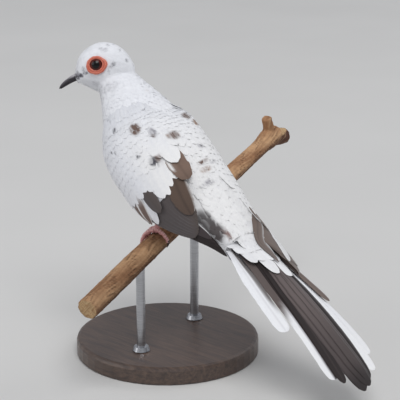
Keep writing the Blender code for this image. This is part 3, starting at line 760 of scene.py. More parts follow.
class Markings:
    """All the patches, darker feathers and a painted shadow under the jaw, laid on whatever plumage they are
    seen on.
    """

    seen: tuple[Mark, ...] = tuple(Mark(*patch) for patch in (
        (135.0, 129.5, 4.6, 3.6, BROWN, 0.85), (152.5, 133.0, 4.4, 2.6, SOFT_GREY, 0.8),
        (153.0, 136.0, 1.8, 1.4, BROWN, 0.8), (173.0, 136.0, 3.4, 5.6, BROWN, 0.8),
        (168.0, 136.5, 2.0, 2.4, WARM_BROWN, 0.6), (114.6, 131.0, 2.6, 1.8, SLATE, 0.75),
        (111.7, 151.5, 2.6, 0.9, SLATE, 0.95), (115.6, 152.8, 2.0, 1.0, SLATE, 0.9),
        (138.4, 157.0, 1.5, 1.3, SLATE, 0.9), (154.0, 161.5, 3.4, 3.4, SLATE, 0.8),
        (158.5, 158.5, 3.0, 2.6, BROWN, 0.8), (203.0, 219.0, 7.0, 5.4, tint(104, 101, 101), 1.1),
        (209.0, 226.0, 7.5, 5.4, tint(96, 92, 92), 1.15), (217.0, 232.5, 7.5, 5.0, tint(90, 84, 84), 1.15),
        (227.5, 234.0, 5.0, 1.8, tint(138, 112, 106), 0.8), (77.6, 76.6, 2.6, 2.2, tint(92, 90, 98), 1.3),
        (80.6, 75.4, 3.4, 1.6, tint(84, 82, 92), 1.2), (77.5, 73.2, 2.2, 1.8, SOFT_GREY, 1.0),
        (85.2, 73.2, 2.8, 1.2, tint(130, 130, 138), 0.9), (83.5, 69.5, 1.6, 2.2, SOFT_GREY, 0.5),
        # The next three patches are a painted shadow that the head casts on the neck under the jaw.
        (101.0, 89.2, 2.6, 4.6, tint(150, 150, 156), 0.24),
        (107.0, 88.2, 2.6, 4.8, tint(150, 150, 156), 0.26),
        (113.5, 86.6, 2.6, 4.6, tint(156, 156, 160), 0.22),
        (104.0, 50.0, 3.4, 2.2, SOFT_GREY, 0.35), (112.0, 66.0, 3.4, 1.6, SOFT_GREY, 0.5),
        (96.0, 83.5, 3.0, 3.0, SOFT_GREY, 0.22), (179.5, 126.0, 2.4, 2.8, SLATE, 1.0),
        (186.0, 116.0, 3.0, 5.2, BROWN, 0.95), (195.0, 123.0, 2.8, 4.6, WARM_BROWN, 1.0),
        (188.5, 141.0, 3.0, 3.2, SOFT_GREY, 1.0), (198.0, 149.0, 2.8, 4.6, SOFT_GREY, 0.85),
        (202.5, 163.0, 1.6, 5.6, BROWN, 0.55), (212.0, 163.0, 1.4, 3.6, SOFT_GREY, 0.55),
        (205.0, 170.5, 2.2, 5.0, WARM_BROWN, 0.45), (207.0, 184.0, 1.8, 6.0, SOFT_GREY, 0.6),
        (200.4, 189.0, 1.0, 1.0, SLATE, 0.8), (113.7, 63.7, 1.4, 1.6, SLATE, 0.5),
        (126.5, 60.5, 1.7, 1.4, SLATE, 0.55), (132.8, 65.0, 2.4, 1.0, SLATE, 0.45),
        (109.0, 71.2, 0.6, 3.0, SOFT_GREY, 0.45), (100.0, 48.5, 2.0, 1.0, SLATE, 0.35),
        (119.8, 50.5, 1.2, 1.2, SLATE, 0.45), (108.0, 45.5, 1.0, 2.6, SOFT_GREY, 0.4),
        (146.5, 91.0, 1.6, 2.4, WARM_BROWN, 0.18),
    ))

    def __init__(self, *trees: BVHTree) -> None:
        """Finds where each patch lies, and leaves out one whose sight line meets nothing.

        Args:
            trees: Surfaces in millimetres; the first one a sight line meets carries the patch.
        """
        self.laid = []
        for mark in self.seen:
            start, way = CAMERA.ray(mark.across, mark.down)
            hits = [hit for hit in (tree.ray_cast(start, way) for tree in trees) if hit[0]]
            if hits:
                centre = np.array(min(hits, key=lambda hit: hit[3])[0])
                self.laid.append((mark, centre, FLOW.at(centre)))

    def paint(self, points: Array, base: Array, chance: Array | None = None) -> Array:
        """Base colours with the patches over them.

        Args:
            points: Room points.
            base: Their colours.
            chance: A share for each point that thins or thickens the patches.

        Returns:
            The painted colours.
        """
        painted = base
        for mark, centre, lie in self.laid:
            gap = points - centre
            along = gap @ lie
            aside = np.linalg.norm(gap - along[..., None] * lie, axis=-1)
            far = (along / mark.length * 1.6) ** 2 + (aside / mark.width * 1.6) ** 2
            share = mark.strength * (1.0 - ramp(0.35, 1.6, far))
            if chance is not None:
                share = np.clip(share * chance * 1.35, 0.0, 1.0)
            painted = painted + (np.array(mark.colour) - painted) * share[..., None]
        return painted


@dataclass(frozen=True)
class CoatPatch:
    """A part of the body that one coat piece covers."""

    name: str
    rows: int = 6
    cols: int = 5


@dataclass
class Coat:
    """Small feathers over the skin, from the face's bristles to the rump's loose down."""

    skin: Skin
    markings: Markings
    finish: Material
    patches: tuple[CoatPatch, ...] = (
        CoatPatch("coat_head", 4, 3),
        CoatPatch("coat_neck", 5),
        CoatPatch("coat_breast"),
        CoatPatch("coat_belly"),
        CoatPatch("coat_back"),
        CoatPatch("coat_rump"),
    )
    eye_length: float = 3.75
    eye_height: float = 3.4
    eye_depth: float = 4.0
    random: np.random.Generator = field(default_factory=lambda: np.random.default_rng(7))

    @staticmethod
    def lengths(points: Array) -> Array:
        """Feather length.

        Args:
            points: Room points.

        Returns:
            The length at each.
        """
        away = np.linalg.norm(points - FLOW.head, axis=-1)
        length = np.interp(away, (9.0, 13.0, 20.0, 30.0, 45.0, 70.0, 100.0),
                           (2.0, 2.6, 3.4, 4.6, 5.8, 7.0, 8.5))
        face = ramp(-4.0, 12.0, in_head(points)[..., 0]) * (1.0 - ramp(13.0, 17.0, away))
        return length * (1.0 - 0.5 * face)

    @staticmethod
    def patch_of(points: Array) -> Array:
        """The coat piece that each point belongs to.

        Args:
            points: Room points.

        Returns:
            Its number among the patches, or -1 where larger feathers cover the skin.
        """
        body = in_body(points)
        x, y, z = body[:, 0], body[:, 1], body[:, 2]
        arc = np.abs(np.arctan2(y, z - 2.0)) * 20.0
        patch = np.where(z < 1.0, 3, 4)
        patch = np.where((x < -2.0) & (z < 8.0), 2, patch)
        patch = np.where((x > 26.0) & (z > 1.0), 5, patch)
        patch = np.where(x < -27.0, 1, patch)
        patch = np.where(above_neck(points) > 0.0, 0, patch)
        hidden = (x > -16.0) & (x < 26.0) & (arc > 12.0) & (arc < 40.0)
        return np.where(hidden & (patch > 0), -1, patch)

    def roots(self) -> Array:
        """Skin vertices that carry a feather, spaced by the feathers' size.

        Returns:
            Their numbers.
        """
        points = self.skin.points
        tree = kdtree.KDTree(len(points))
        for i, point in enumerate(points):
            tree.insert(point, i)
        tree.balance()
        spacing = np.maximum(self.lengths(points) * 0.30, 0.42)
        free = (self.patch_of(points) >= 0) & ~self.bare(points)
        chosen = []
        for i in self.random.permutation(len(points)):
            if not free[i]:
                continue
            chosen.append(i)
            for _, j, _ in tree.find_range(points[i], spacing[i]):
                free[j] = False
        return np.array(chosen)

    def bare(self, points: Array) -> Array:
        """Where no feather grows: round the eyes and on the bill's root.

        Args:
            points: Room points.

        Returns:
            True for each bare one.
        """
        head = in_head(points)
        eye = np.zeros(len(points), bool)
        for side in Side:
            x, y, z = np.abs(place(Eye(side).outward().inverted(), points)).T
            eye |= (np.hypot(x / self.eye_length, y / self.eye_height) < 1.0) & (z <= self.eye_depth)
        bill = (head[:, 0] > 13.0) & (np.abs(head[:, 1]) < 1.4) & (head[:, 2] < -2.0) & (head[:, 2] > -6.4)
        return eye | bill

    def combed(self, roots: Array, rows: int) -> tuple[Array, Array, Array]:
        """Middle line of each feather, laid along the skin.

        Args:
            roots: Skin vertices.
            rows: Points along a feather.

        Returns:
            Points, directions and normals, each (feathers, rows, 3).
        """
        starts = self.skin.points[roots]
        lengths = self.lengths(starts) * self.random.uniform(0.88, 1.12, len(roots))
        yaw = self.random.normal(0.0, 0.10, len(roots))
        line = np.zeros((len(roots), rows, 3))
        ways, ups = np.zeros_like(line), np.zeros_like(line)
        spot, up = starts.copy(), self.skin.normals[roots].copy()
        step = (lengths / (rows - 1))[:, None]
        for k in range(rows):
            flow = FLOW.at(spot)
            flow = unit(flow - up * np.sum(flow * up, axis=1, keepdims=True))
            side = np.cross(up, flow)
            way = flow * np.cos(yaw)[:, None] + side * np.sin(yaw)[:, None]
            line[:, k], ways[:, k], ups[:, k] = spot, way, up
            if k == rows - 1:
                break
            ahead = spot + way * step
            for i, point in enumerate(ahead):
                found, normal, _, _ = self.skin.tree.find_nearest(point)
                ahead[i] = found
                up[i] = up[i] * 0.4 + np.array(normal) * 0.6
            up = unit(up)
            spot = ahead
        return line, ways, ups

    def dress(self) -> None:
        """Builds every coat piece."""
        roots = self.roots()
        owners = self.patch_of(self.skin.points[roots])
        for number, patch in enumerate(self.patches):
            self.cover(patch, roots[owners == number])

    def cover(self, patch: CoatPatch, roots: Array) -> None:
        """Builds one coat piece.

        Args:
            patch: What it is called and how fine its vanes are.
            roots: Skin vertices its feathers grow from.
        """
        line, ways, ups = self.combed(roots, patch.rows)
        count = len(roots)
        starts = line[:, 0]
        lengths = np.linalg.norm(np.diff(line, axis=1), axis=2).sum(axis=1)
        depth = coat_depth(starts) * self.random.uniform(0.85, 1.12, count)
        t = np.linspace(0.0, 1.0, patch.rows) ** 0.85
        aside = np.cross(ups, ways)
        spread = np.linspace(-1.0, 1.0, patch.cols)
        half = lengths[:, None] * 0.34 * vane_widths(t, 0.5, 0.55, 0.2)[None]
        lift = -0.12 + (depth[:, None] + 0.12) * t[None] ** 0.8
        away = np.linalg.norm(starts - FLOW.head, axis=1)
        radius = np.interp(away, (10.0, 30.0, 60.0), (9.0, 14.0, 20.0))
        offset = half[:, :, None] * spread
        sag = offset ** 2 / (2.0 * radius[:, None, None])
        camber = depth[:, None, None] * 0.55 * spread ** 2 * t[None, :, None]
        top = (line[:, :, None] + aside[:, :, None] * offset[..., None]
               + ups[:, :, None] * (lift[:, :, None] - sag - camber)[..., None])
        ragged = self.random.normal(0.0, 0.05, (count, patch.cols)) * lengths[:, None]
        top[:, -1] += ways[:, -1, None] * ragged[..., None]
        up = np.broadcast_to(ups[:, :, None], top.shape)
        chance = self.random.uniform(0.5, 1.25, count)[:, None, None] * (0.55 + 0.6 * t)[None, :, None]
        streaks = self.random.uniform(0.35, 1.25, (count, 1, patch.cols))
        # The base white carries painted light: cool shade on the sides, warm light along the back.
        tone = self.markings.paint(top, lit_white_at(top), chance * streaks)
        tone = tone * self.random.normal(1.0, 0.012, count)[:, None, None, None]
        vanes = Vanes(top, up, np.clip(tone, 0.0, 1.0), self.unwrap(patch, starts), thickness=0.05)
        finish_piece(vanes.mesh(patch.name, 0.85), self.finish, "white_plumage")

    @staticmethod
    def unwrap(patch: CoatPatch, points: Array) -> Array:
        """Place of roots on the unrolled skin, in the unit square.

        Args:
            patch: The coat piece.
            points: Roots in the room.

        Returns:
            UV places.
        """
        if patch.name == "coat_head":
            local = in_head(points)
            round_axis = np.arctan2(local[:, 1], local[:, 2] + 0.5) / (2.0 * math.pi) + 0.5
            along = np.arccos(np.clip(unit(local)[:, 0], -1.0, 1.0)) / math.pi
        else:
            local = in_body(points)
            round_axis = np.arctan2(local[:, 1], local[:, 2] - 3.0) / (2.0 * math.pi) + 0.5
            along = (local[:, 0] + 62.0) / 150.0
        return np.stack((0.01 + 0.98 * round_axis, 0.01 + 0.98 * along), axis=-1)


class Pattern(Enum):
    """How a large feather is coloured, and the colour of its ground."""

    PALE = ("white all over", WHITE)
    DUSKY = ("slate brown with a fine pale rim", DARK)
    TERTIAL = ("warm brown with a white inner edge", tint(88, 73, 65))
    PATCHED = ("brown with a white patch on the outer web", tint(120, 100, 90))
    EDGED = ("brown with broad pale edges", BROWN)
    OUTER = ("white tail feather, dark at its inner root", WHITE)
    HALVED = ("white outer web and dark inner web", WHITE)
    SLATY = ("grey-brown tail feather with a dark shaft", tint(100, 90, 90))
    BLACK = ("blackish tail feather", tint(36, 28, 28))
    FRINGED = ("grey-brown with a narrow white outer edge", tint(112, 98, 92))
    RIMMED = ("blackish with a fine white inner edge", tint(62, 54, 56))


@dataclass(frozen=True)
class Feather:
    """One large feather on the drawing of the surface it lies on: places are along and across it, in mm."""

    root: tuple[float, float]
    tip: tuple[float, float]
    width: float
    root_lift: float
    tip_lift: float
    pattern: Pattern = Pattern.PALE
    slant: float = 0.1
    point: float = 0.6
    blunt: float = 0.2
    bow: float = 0.0

    def tone(self, t: Array, u: Array) -> Array:
        """Colours over the feather.

        Args:
            t: Share of the length, root to tip.
            u: Place across, from -1 at the outer edge to 1 at the inner one.

        Returns:
            A colour at each place.
        """
        t, u = np.broadcast_arrays(t, u)
        pattern = self.pattern
        edge = ramp(0.80, 1.0, np.abs(u))
        shaft = 1.0 - ramp(0.0, 0.16, np.abs(u))
        if pattern is Pattern.PALE:
            layers = [(COOL_SHADE, 0.2 * (1.0 - t) + 0.12 * shaft)]
        elif pattern is Pattern.DUSKY:
            layers = [(SLATE, 0.25 * ramp(0.1, -0.9, u)), (BLACKISH, 0.12 * shaft),
                      (SOFT_GREY, 0.12 * edge * ramp(0.5, 0.95, t))]
        elif pattern is Pattern.TERTIAL:
            layers = [(BLACKISH, 0.3 * shaft + 0.15 * ramp(0.6, 1.0, t)),
                      (WHITE, 0.5 * ramp(0.93, 1.0, u) * ramp(0.1, 0.3, t))]
        elif pattern is Pattern.PATCHED:
            across = ramp(0.48, 0.62, -u) * ramp(0.95, 0.85, -u)
            layers = [(BLACKISH, 0.20 * shaft + 0.2 * ramp(0.75, 1.0, t)),
                      (WHITE, across * ramp(0.3, 0.42, t) * ramp(0.74, 0.62, t))]
        elif pattern is Pattern.EDGED:
            layers = [(WARM_WHITE, ramp(0.45, 0.7, -u) + ramp(0.75, 0.95, u)),
                      (WHITE, ramp(0.4, 0.0, t))]
        elif pattern is Pattern.OUTER:
            dark = ramp(0.45, 0.75, u + 0.3 * (1.0 - t)) * ramp(0.85, 0.6, t)
            layers = [(DARK, 0.9 * dark), (SOFT_GREY, 0.22 * shaft)]
        elif pattern is Pattern.HALVED:
            layers = [(SOFT_GREY, 0.8 * np.exp(-((u - 0.02) / 0.09) ** 2)),
                      (BLACKISH, 0.95 * ramp(0.10, 0.22, u)),
                      (tint(92, 82, 80), ramp(0.55, 0.40, t + 0.08 * u))]
        elif pattern is Pattern.SLATY:
            layers = [(BLACKISH, 0.75 * np.exp(-(u / 0.15) ** 2) * ramp(0.1, 0.3, t)),
                      (BLACKISH, 0.30 * ramp(0.75, 1.0, np.abs(u))),
                      (BLACKISH, 0.55 * ramp(0.35, 0.85, t) + 0.4 * ramp(0.82, 0.97, t))]
        elif pattern is Pattern.BLACK:
            layers = [(tint(84, 74, 74), 0.2 * edge + 0.2 * shaft)]
        elif pattern is Pattern.RIMMED:
            layers = [(WHITE, 0.9 * ramp(0.80, 0.90, u) * ramp(0.35, 0.55, t))]
        else:
            layers = [(BLACKISH, 0.3 * shaft), (WHITE, 0.9 * ramp(0.72, 0.92, -u))]
        tone = np.zeros((*t.shape, 3)) + np.array(pattern.value[1])
        for colour, share in layers:
            tone = blend(tone, colour, share)
        return tone


@dataclass
class LaidFeathers:
    """Large feathers built over a drawn surface as closed vanes with a raised shaft.

    The surface gives room points in millimetres for arrays of places along, places across and lifts; inner is
    the sign of the across direction that points to the middle of the bird.
    """

    surface: Callable[[Array, Array, Array], Array]
    inner: float
    markings: Markings | None = None
    thickness: float = 0.16
    rows: int = 20
    cols: int = 9
    soft: float = 0.55
    camber: float = 0.035
    random: np.random.Generator = field(default_factory=lambda: np.random.default_rng(11))

    def vane(self, one: Feather, t: Array, u: Array) -> tuple[Array, Array, Array]:
        """The upper side of one feather.

        Args:
            one: The feather.
            t: Shares of its length.
            u: Places across it, -1 to 1.

        Returns:
            Points, directions up and colours, each (rows, columns, 3).
        """
        root, run = np.array(one.root), np.array(one.tip) - np.array(one.root)
        way = run / float(np.linalg.norm(run))
        aside = np.array((-way[1], way[0]))
        half = one.width * vane_widths(t, 0.42, one.point, one.blunt)
        back = 0.16 * one.width * u ** 2 * ramp(0.3, 1.0, t)[:, None]
        ragged = self.random.normal(0.0, 0.006, (self.rows, self.cols)) * one.width * (np.abs(u) > 0.9)
        offset = (one.bow * np.sin(math.pi * t))[:, None] + half[:, None] * (u + ragged)
        spot = root + t[:, None, None] * run - back[..., None] * way + offset[..., None] * aside
        lift = one.root_lift + (one.tip_lift - one.root_lift) * t
        shaft = 0.10 * np.exp(-(u / 0.14) ** 2) * (1.0 - 0.8 * t[:, None])
        camber = -self.camber * one.width * u ** 2
        height = lift[:, None] + one.slant * (half / one.width)[:, None] * u + shaft + camber
        top = self.surface(spot[..., 0], spot[..., 1], height)
        up = unit(self.surface(spot[..., 0], spot[..., 1], height + 1.0) - top)
        tone = one.tone(t[:, None], u[None, :] * self.inner) * (1.0 + self.random.normal(0.0, 0.015))
        return top, up, tone

    def build(self, name: str, feathers: list[Feather], finish: Material, slot: str, *nodes: str) -> Object:
        """One piece with all these feathers.

        Args:
            name: The piece's name.
            feathers: The feathers.
            finish: Its material.
            slot: The record's slot.
            nodes: CAD nodes it stands for.

        Returns:
            The piece.
        """
        count = len(feathers)
        t = 1.0 - (1.0 - np.linspace(0.0, 1.0, self.rows)) ** 1.35
        u = np.linspace(-1.0, 1.0, self.cols)
        top, up, tone = (np.array(part) for part in zip(*(self.vane(one, t, u) for one in feathers)))
        turn = np.cross(top[:, 1:, :-1] - top[:, :-1, :-1], top[:, :-1, 1:] - top[:, :-1, :-1])
        if np.sum(turn * up[:, :-1, :-1]) < 0.0:
            top, up, tone = top[:, :, ::-1], up[:, :, ::-1], tone[:, :, ::-1]
        # The feathers take the plumage's white with its painted light: cool shade on the sides, warm light
        # along the back.
        tone = tone * lit_white_at(top) / np.array(WHITE)
        if self.markings is not None:
            chance = self.random.uniform(0.55, 1.2, count)[:, None, None]
            streaks = self.random.uniform(0.25, 1.3, (count, 1, self.cols))
            fade = (0.45 + 0.75 * ramp(0.15, 0.5, t) * ramp(1.08, 0.92, t))[None, :, None]
            tone = self.markings.paint(top, tone, chance * streaks * fade)
        grid, cell = math.ceil(math.sqrt(count)), np.arange(count)
        root_uv = np.stack(((cell % grid + 0.5) / grid, (cell // grid + 0.5) / grid), axis=-1)
        vanes = Vanes(top, up, np.clip(tone, 0.0, 1.0), root_uv, 0.92 / grid, self.thickness)
        piece = vanes.mesh(name, self.soft)
        finish_piece(piece, finish, slot, *nodes)
        return piece


def short_feathers(surface: Callable[[Array, Array, Array], Array], inner: float,
                   markings: Markings | None) -> LaidFeathers:
    """A layer of short, softly shaded feathers; the arguments are those of LaidFeathers."""
    return LaidFeathers(surface, inner, markings, 0.08, 10, 7, 0.85, 0.11)


WING_SECTIONS = (
    (-51.0, 14.6, -1.5, 50, 10.4, 8.2, 9.6),
    (-46.0, 13.4, -1.5, 44, 12.0, 8.2, 10.6),
    (-40.0, 11.8, -1.0, 36, 13.6, 9.2, 12.2),
    (-33.0, 9.2, -0.5, 27, 15.8, 12.6, 14.8),
    (-25.0, 6.2, 0.0, 18, 17.8, 17.2, 18.0),
    (-15.0, 3.6, 0.0, 8, 19.6, 20.4, 20.2),
    (-4.0, 2.0, 0.0, 0, 20.2, 20.8, 20.8),
    (9.0, 2.0, 0.0, 0, 18.2, 22.0, 20.8),
    (22.0, 2.8, 0.0, 0, 15.4, 20.6, 19.0),
    (36.0, 4.2, 0.0, 0, 12.0, 13.6, 15.4),
    (46.0, 5.8, 0.0, 0, 9.4, 9.6, 13.2),
    (58.0, 7.4, 0.0, 0, 7.8, 7.4, 12.4),
    (72.0, 8.6, 0.0, 0, 7.2, 6.4, 12.8),
    (92.0, 9.6, 0.0, 0, 6.4, 6.0, 12.4),
)
WING_CORE = (
    (-27.0, 14.0, 34.0),
    (-24.0, 8.0, 40.0),
    (-19.0, 5.5, 44.0),
    (-12.0, 4.5, 46.5),
    (-4.0, 4.6, 47.5),
    (4.0, 6.0, 48.0),
    (10.0, 8.0, 47.0),
    (17.0, 12.0, 43.5),
)


@dataclass
class Wing:
    """A folded wing: flesh, coverts in rows, flight feathers and tertials.

    Its drawing is laid round the body: arc is the arc length of one radian, bend and middle are the places
    it is stretched from, along the body and round it, ahead, stretch and spread give the wing its place and
    size on its own side, and swell is the height of its flesh. Of the right wing's greater coverts only the
    first ones lie open, as many as open_coverts says; the mantle hides the others.
    """

    side: Side
    arc: float = 20.0
    bend: float = -27.0
    middle: float = 28.0
    ahead: float = 0.0
    stretch: float = 1.0
    spread: float = 0.0
    swell: float = 2.2
    open_coverts: int = 7
    tree: BVHTree | None = None
    long_tree: BVHTree | None = None
    random: np.random.Generator = field(default_factory=lambda: np.random.default_rng(3))

    def surface(self, along: Array, arc: Array, lift: Array) -> Array:
        """Room points over the wing's drawing.

        Args:
            along: Place along the body.
            arc: Arc length from the middle of the back.
            lift: Height over the body's sections.

        Returns:
            Room points.
        """
        back = np.clip((along - self.bend) / 60.0, 0.0, 1.0)
        inward = np.where(arc < self.middle, 1.0 + self.spread * back * back, 1.0 - 0.3 * self.spread)
        arc = self.middle + (arc - self.middle) * inward
        along = self.bend + (along - self.bend) * (1.0 + (self.stretch - 1.0) * back) + self.ahead
        _, z, y, tilt, up, down, half = np.moveaxis(spline(WING_SECTIONS, along), -1, 0)
        lean, angle = np.radians(tilt), arc / self.arc
        reach = np.where(np.cos(angle) > 0.0, up, down) + lift
        rise = reach * np.cos(angle)
        across = self.side.value * (half + lift) * np.sin(angle) + y
        body = np.stack((along + rise * np.sin(lean), across, z + rise * np.cos(lean)), axis=-1)
        return place(STANCE.body(), body)

    def core_lift(self, along: Array, arc: Array) -> Array:
        """Height of the wing's flesh over the body's sections.

        Args:
            along: Place along the body.
            arc: Arc length from the middle of the back.

        Returns:
            The height at each place.
        """
        first, last = WING_CORE[0][0], WING_CORE[-1][0]
        share = np.clip((along - first) / (last - first), 0.0, 1.0)
        at = spline(WING_CORE, along)
        across = np.clip((arc - at[..., 1]) / (at[..., 2] - at[..., 1]), 0.0, 1.0)
        swell = np.sqrt(np.sin(math.pi * across)) * self.swell * np.minimum(1.0, 0.15 + share * 5.0)
        return 0.5 + (0.7 + swell) * np.minimum(1.0, 1.2 - 0.5 * share)

    def over_core(self, along: Array, arc: Array, lift: Array) -> Array:
        """Room points over the wing's flesh, which merges into the back near the spine.

        Args:
            along, arc: The place, as for surface.
            lift: Height over the flesh.

        Returns:
            Room points.
        """
        core = self.core_lift(along, arc)
        return self.surface(along, arc, 0.2 + (core - 0.2) * ramp(2.5, 9.0, arc) + lift)

    def flesh(self, finish: Material) -> None:
        """Builds the wing's covered part as a closed plate under its coverts.

        Args:
            finish: Plumage material.
        """
        rows, cols = 40, 36
        along = np.linspace(WING_CORE[0][0], WING_CORE[-1][0], rows)
        at = spline(WING_CORE, along)
        arc = at[:, 1:2] + (at[:, 2:3] - at[:, 1:2]) * np.linspace(0.0, 1.0, cols)
        x = np.repeat(along[:, None], cols, axis=1)
        top = self.surface(x, arc, self.core_lift(x, arc) - 0.15)
        up = unit(top - self.surface(x, arc, np.full_like(arc, 0.45)))
        if self.side is Side.LEFT:
            top, up = top[:, ::-1], up[:, ::-1]
        tone = np.zeros_like(top) + np.array(WHITE)
        vanes = Vanes(top[None], up[None], tone[None], np.array(((0.5, 0.5),)), 0.98, 0.6)
        piece = vanes.mesh(f"wing_flesh_{self.side.label}", 0.0)
        finish_piece(piece, finish, "wing_plumage", f"wing_{self.side.label}")
        self.tree = tree_of(piece)

    def coverts(self) -> list[Feather]:
        """Small feathers in rows from the bend of the wing back.

        Returns:
            The feathers.
        """
        made = []
        for k, along in enumerate(np.arange(-22.5, 5.0, 3.0)):
            lowest = float(np.interp(along, (-22.0, -19.0, -12.0, -4.0, 4.0), (35.5, 40.0, 44.0, 45.5, 46.5)))
            highest = float(np.interp(along, (-22.0, -14.0, -4.0, 5.0), (11.0, 7.5, 7.0, 13.0)))
            size = float(np.interp(along, (-22.0, 4.0), (1.9, 2.7)))
            count = round((lowest - highest) / (size * 1.15))
            for j in range(count + 1):
                t = (j + 0.5 * (k % 2)) / count
                arc = lowest + (highest - lowest) * t + self.random.normal(0.0, 0.25)
                if arc < highest:
                    continue
                tip = along + 1.2 * math.sin(math.pi * t) + self.random.normal(0.0, 0.35)
                root = (tip - size * 3.6, 25.0 + (arc - 25.0) * 0.94)
                lift = 0.38 + 0.012 * (j % 3)
                made.append(Feather(root, (tip, arc), size, -0.15, lift, slant=0.08, point=0.5, blunt=0.12))
        return made

    def shoulder(self) -> list[Feather]:
        """Body feathers that run over the wing's front edge.

        Returns:
            The feathers.
        """
        made = []
        for row, (tip, lift, drop) in enumerate(((-25.4, 0.35, -2.6), (-21.8, 0.5, -1.6))):
            for arc in np.arange(9.5 + row, 40.0, 1.9):
                spot = tip + self.random.normal(0.0, 0.4) + 0.004 * (arc - 22.0) ** 2
                root = (spot - 9.0, 23.0 + (arc - 23.0) * 0.93)
                made.append(Feather(root, (spot, arc), 2.3, drop, lift, slant=0.05, point=0.5, blunt=0.12))
        return made

    def greater_coverts(self) -> list[Feather]:
        """The long row whose white tips end over the dark flight feathers.

        Returns:
            The feathers.
        """
        tips = ((4.0, 46.5), (6.0, 43.0), (7.6, 39.8), (9.6, 36.3), (10.2, 32.4), (9.8, 29.2), (12.2, 26.6),
                (17.8, 25.2), (18.4, 22.4), (16.2, 19.3), (14.8, 15.8))
        made = []
        for k, tip in enumerate(tips):
            t = k / (len(tips) - 1)
            root = (-8.0 + 9.0 * t, 43.5 - 31.5 * t)
            made.append(Feather(root, tip, 3.1 + 0.5 * t, -0.1, 0.42 + 0.02 * k, slant=0.15, point=0.62))
        return made

    def tertial_covers(self) -> list[Feather]:
        """White feathers over the root of the shortest tertial."""
        return [
            Feather((-8.0, 15.5), (3.6, 15.8), 3.0, 0.2, 0.9, point=0.5),
            Feather((-8.0, 8.5), (2.6, 8.0), 2.8, 0.5, 1.3, point=0.5),
            Feather((-6.0, 11.5), (9.4, 11.8), 3.9, 0.5, 1.7, point=0.45),
        ]

    def flight(self) -> list[Feather]:
        """Primaries and secondaries; the numbers are those of the folded wing's drawing.

        Returns:
            The feathers.
        """
        made = []
        for k in range(8):
            t = k / 7.0
            root = (5.0 + 2.0 * t, 41.0 - 10.0 * t)
            tip = (53.6 - 9.6 * t + 3.0 * math.sin(math.pi * t), 31.0 - 4.6 * t)
            lifts, pattern = (0.6 + 0.8 * t, 0.5 + 1.5 * t), Pattern.BLACK if k < 7 else Pattern.RIMMED
            made.append(Feather(root, tip, 3.5 + 0.4 * t, *lifts, pattern, 0.15, 0.55, 0.12))
        for k in range(9):
            t = k / 8.0
            root = (4.0, 38.0 - 19.5 * t)
            tip = (38.0 - 5.5 * t + 2.2 * math.sin(math.pi * t), 32.5 - 10.8 * t)
            lifts = (1.6 + 0.5 * t, 2.0 + 0.6 * t)
            made.append(Feather(root, tip, 5.2 - 1.4 * t, *lifts, Pattern.DUSKY, blunt=0.25))
        return made

    def dress(self, finish: Material, markings: Markings) -> None:
        """Lays the feathers over the wing's flesh.

        Args:
            finish: Plumage material.
            markings: Darker patches.
        """
        name = self.side.label
        flat = LaidFeathers(self.surface, -1.0, thickness=0.1, soft=0.9)
        shaped = short_feathers(self.over_core, -1.0, markings)
        piece = flat.build(f"flight_feathers_{name}", self.dark_feathers(), finish, "wing_plumage")
        self.long_tree = tree_of(piece)
        long_ones, short_ones = self.greater_coverts(), self.shoulder() + self.coverts()
        if self.side is Side.LEFT:
            long_ones += self.edge_feathers()
            short_ones += self.tertial_covers()
        else:
            long_ones = long_ones[:self.open_coverts]
        shaped.build(f"greater_coverts_{name}", long_ones, finish, "wing_plumage")
        shaped.build(f"coverts_{name}", short_ones, finish, "wing_plumage")

    def dark_feathers(self) -> list[Feather]:
        """Flight feathers and tertials in this wing's colours.

        Returns:
            The feathers.
        """
        made = self.flight()
        if self.side is Side.LEFT:
            return [
                *made,
                Feather((5.0, 14.0), (31.0, 22.4), 4.7, 2.3, 3.1, Pattern.TERTIAL, 0.2, 0.62, 0.3),
                Feather((-2.0, 11.6), (18.2, 12.2), 4.0, 2.0, 3.7, Pattern.PATCHED, blunt=0.35),
            ]
        return [
            *(replace(feather, pattern=Pattern.FRINGED) for feather in made),
            Feather((5.0, 12.5), (31.0, 21.0), 5.2, 1.6, 2.3, point=0.62, blunt=0.3),
            Feather((-2.0, 9.5), (18.0, 12.0), 5.0, 1.8, 2.5, blunt=0.35),
        ]

    def edge_feathers(self) -> list[Feather]:
        """Brown and white coverts along the wing's lower edge."""
        return [
            Feather((0.0, 42.5), (13.0, 47.6), 2.2, -0.1, 0.15, point=0.55, blunt=0.15),
            Feather((2.5, 38.5), (15.5, 46.0), 2.5, -0.1, 0.3, Pattern.EDGED, point=0.55, blunt=0.15),
            Feather((5.5, 34.0), (18.4, 41.6), 2.6, 0.2, 0.95, Pattern.EDGED, point=0.55, blunt=0.15),
            Feather((9.0, 31.5), (21.3, 38.4), 2.5, -0.1, 0.55, blunt=0.3),
            Feather((3.0, 28.4), (20.6, 31.6), 3.2, -0.1, 1.25, Pattern.DUSKY),
        ]


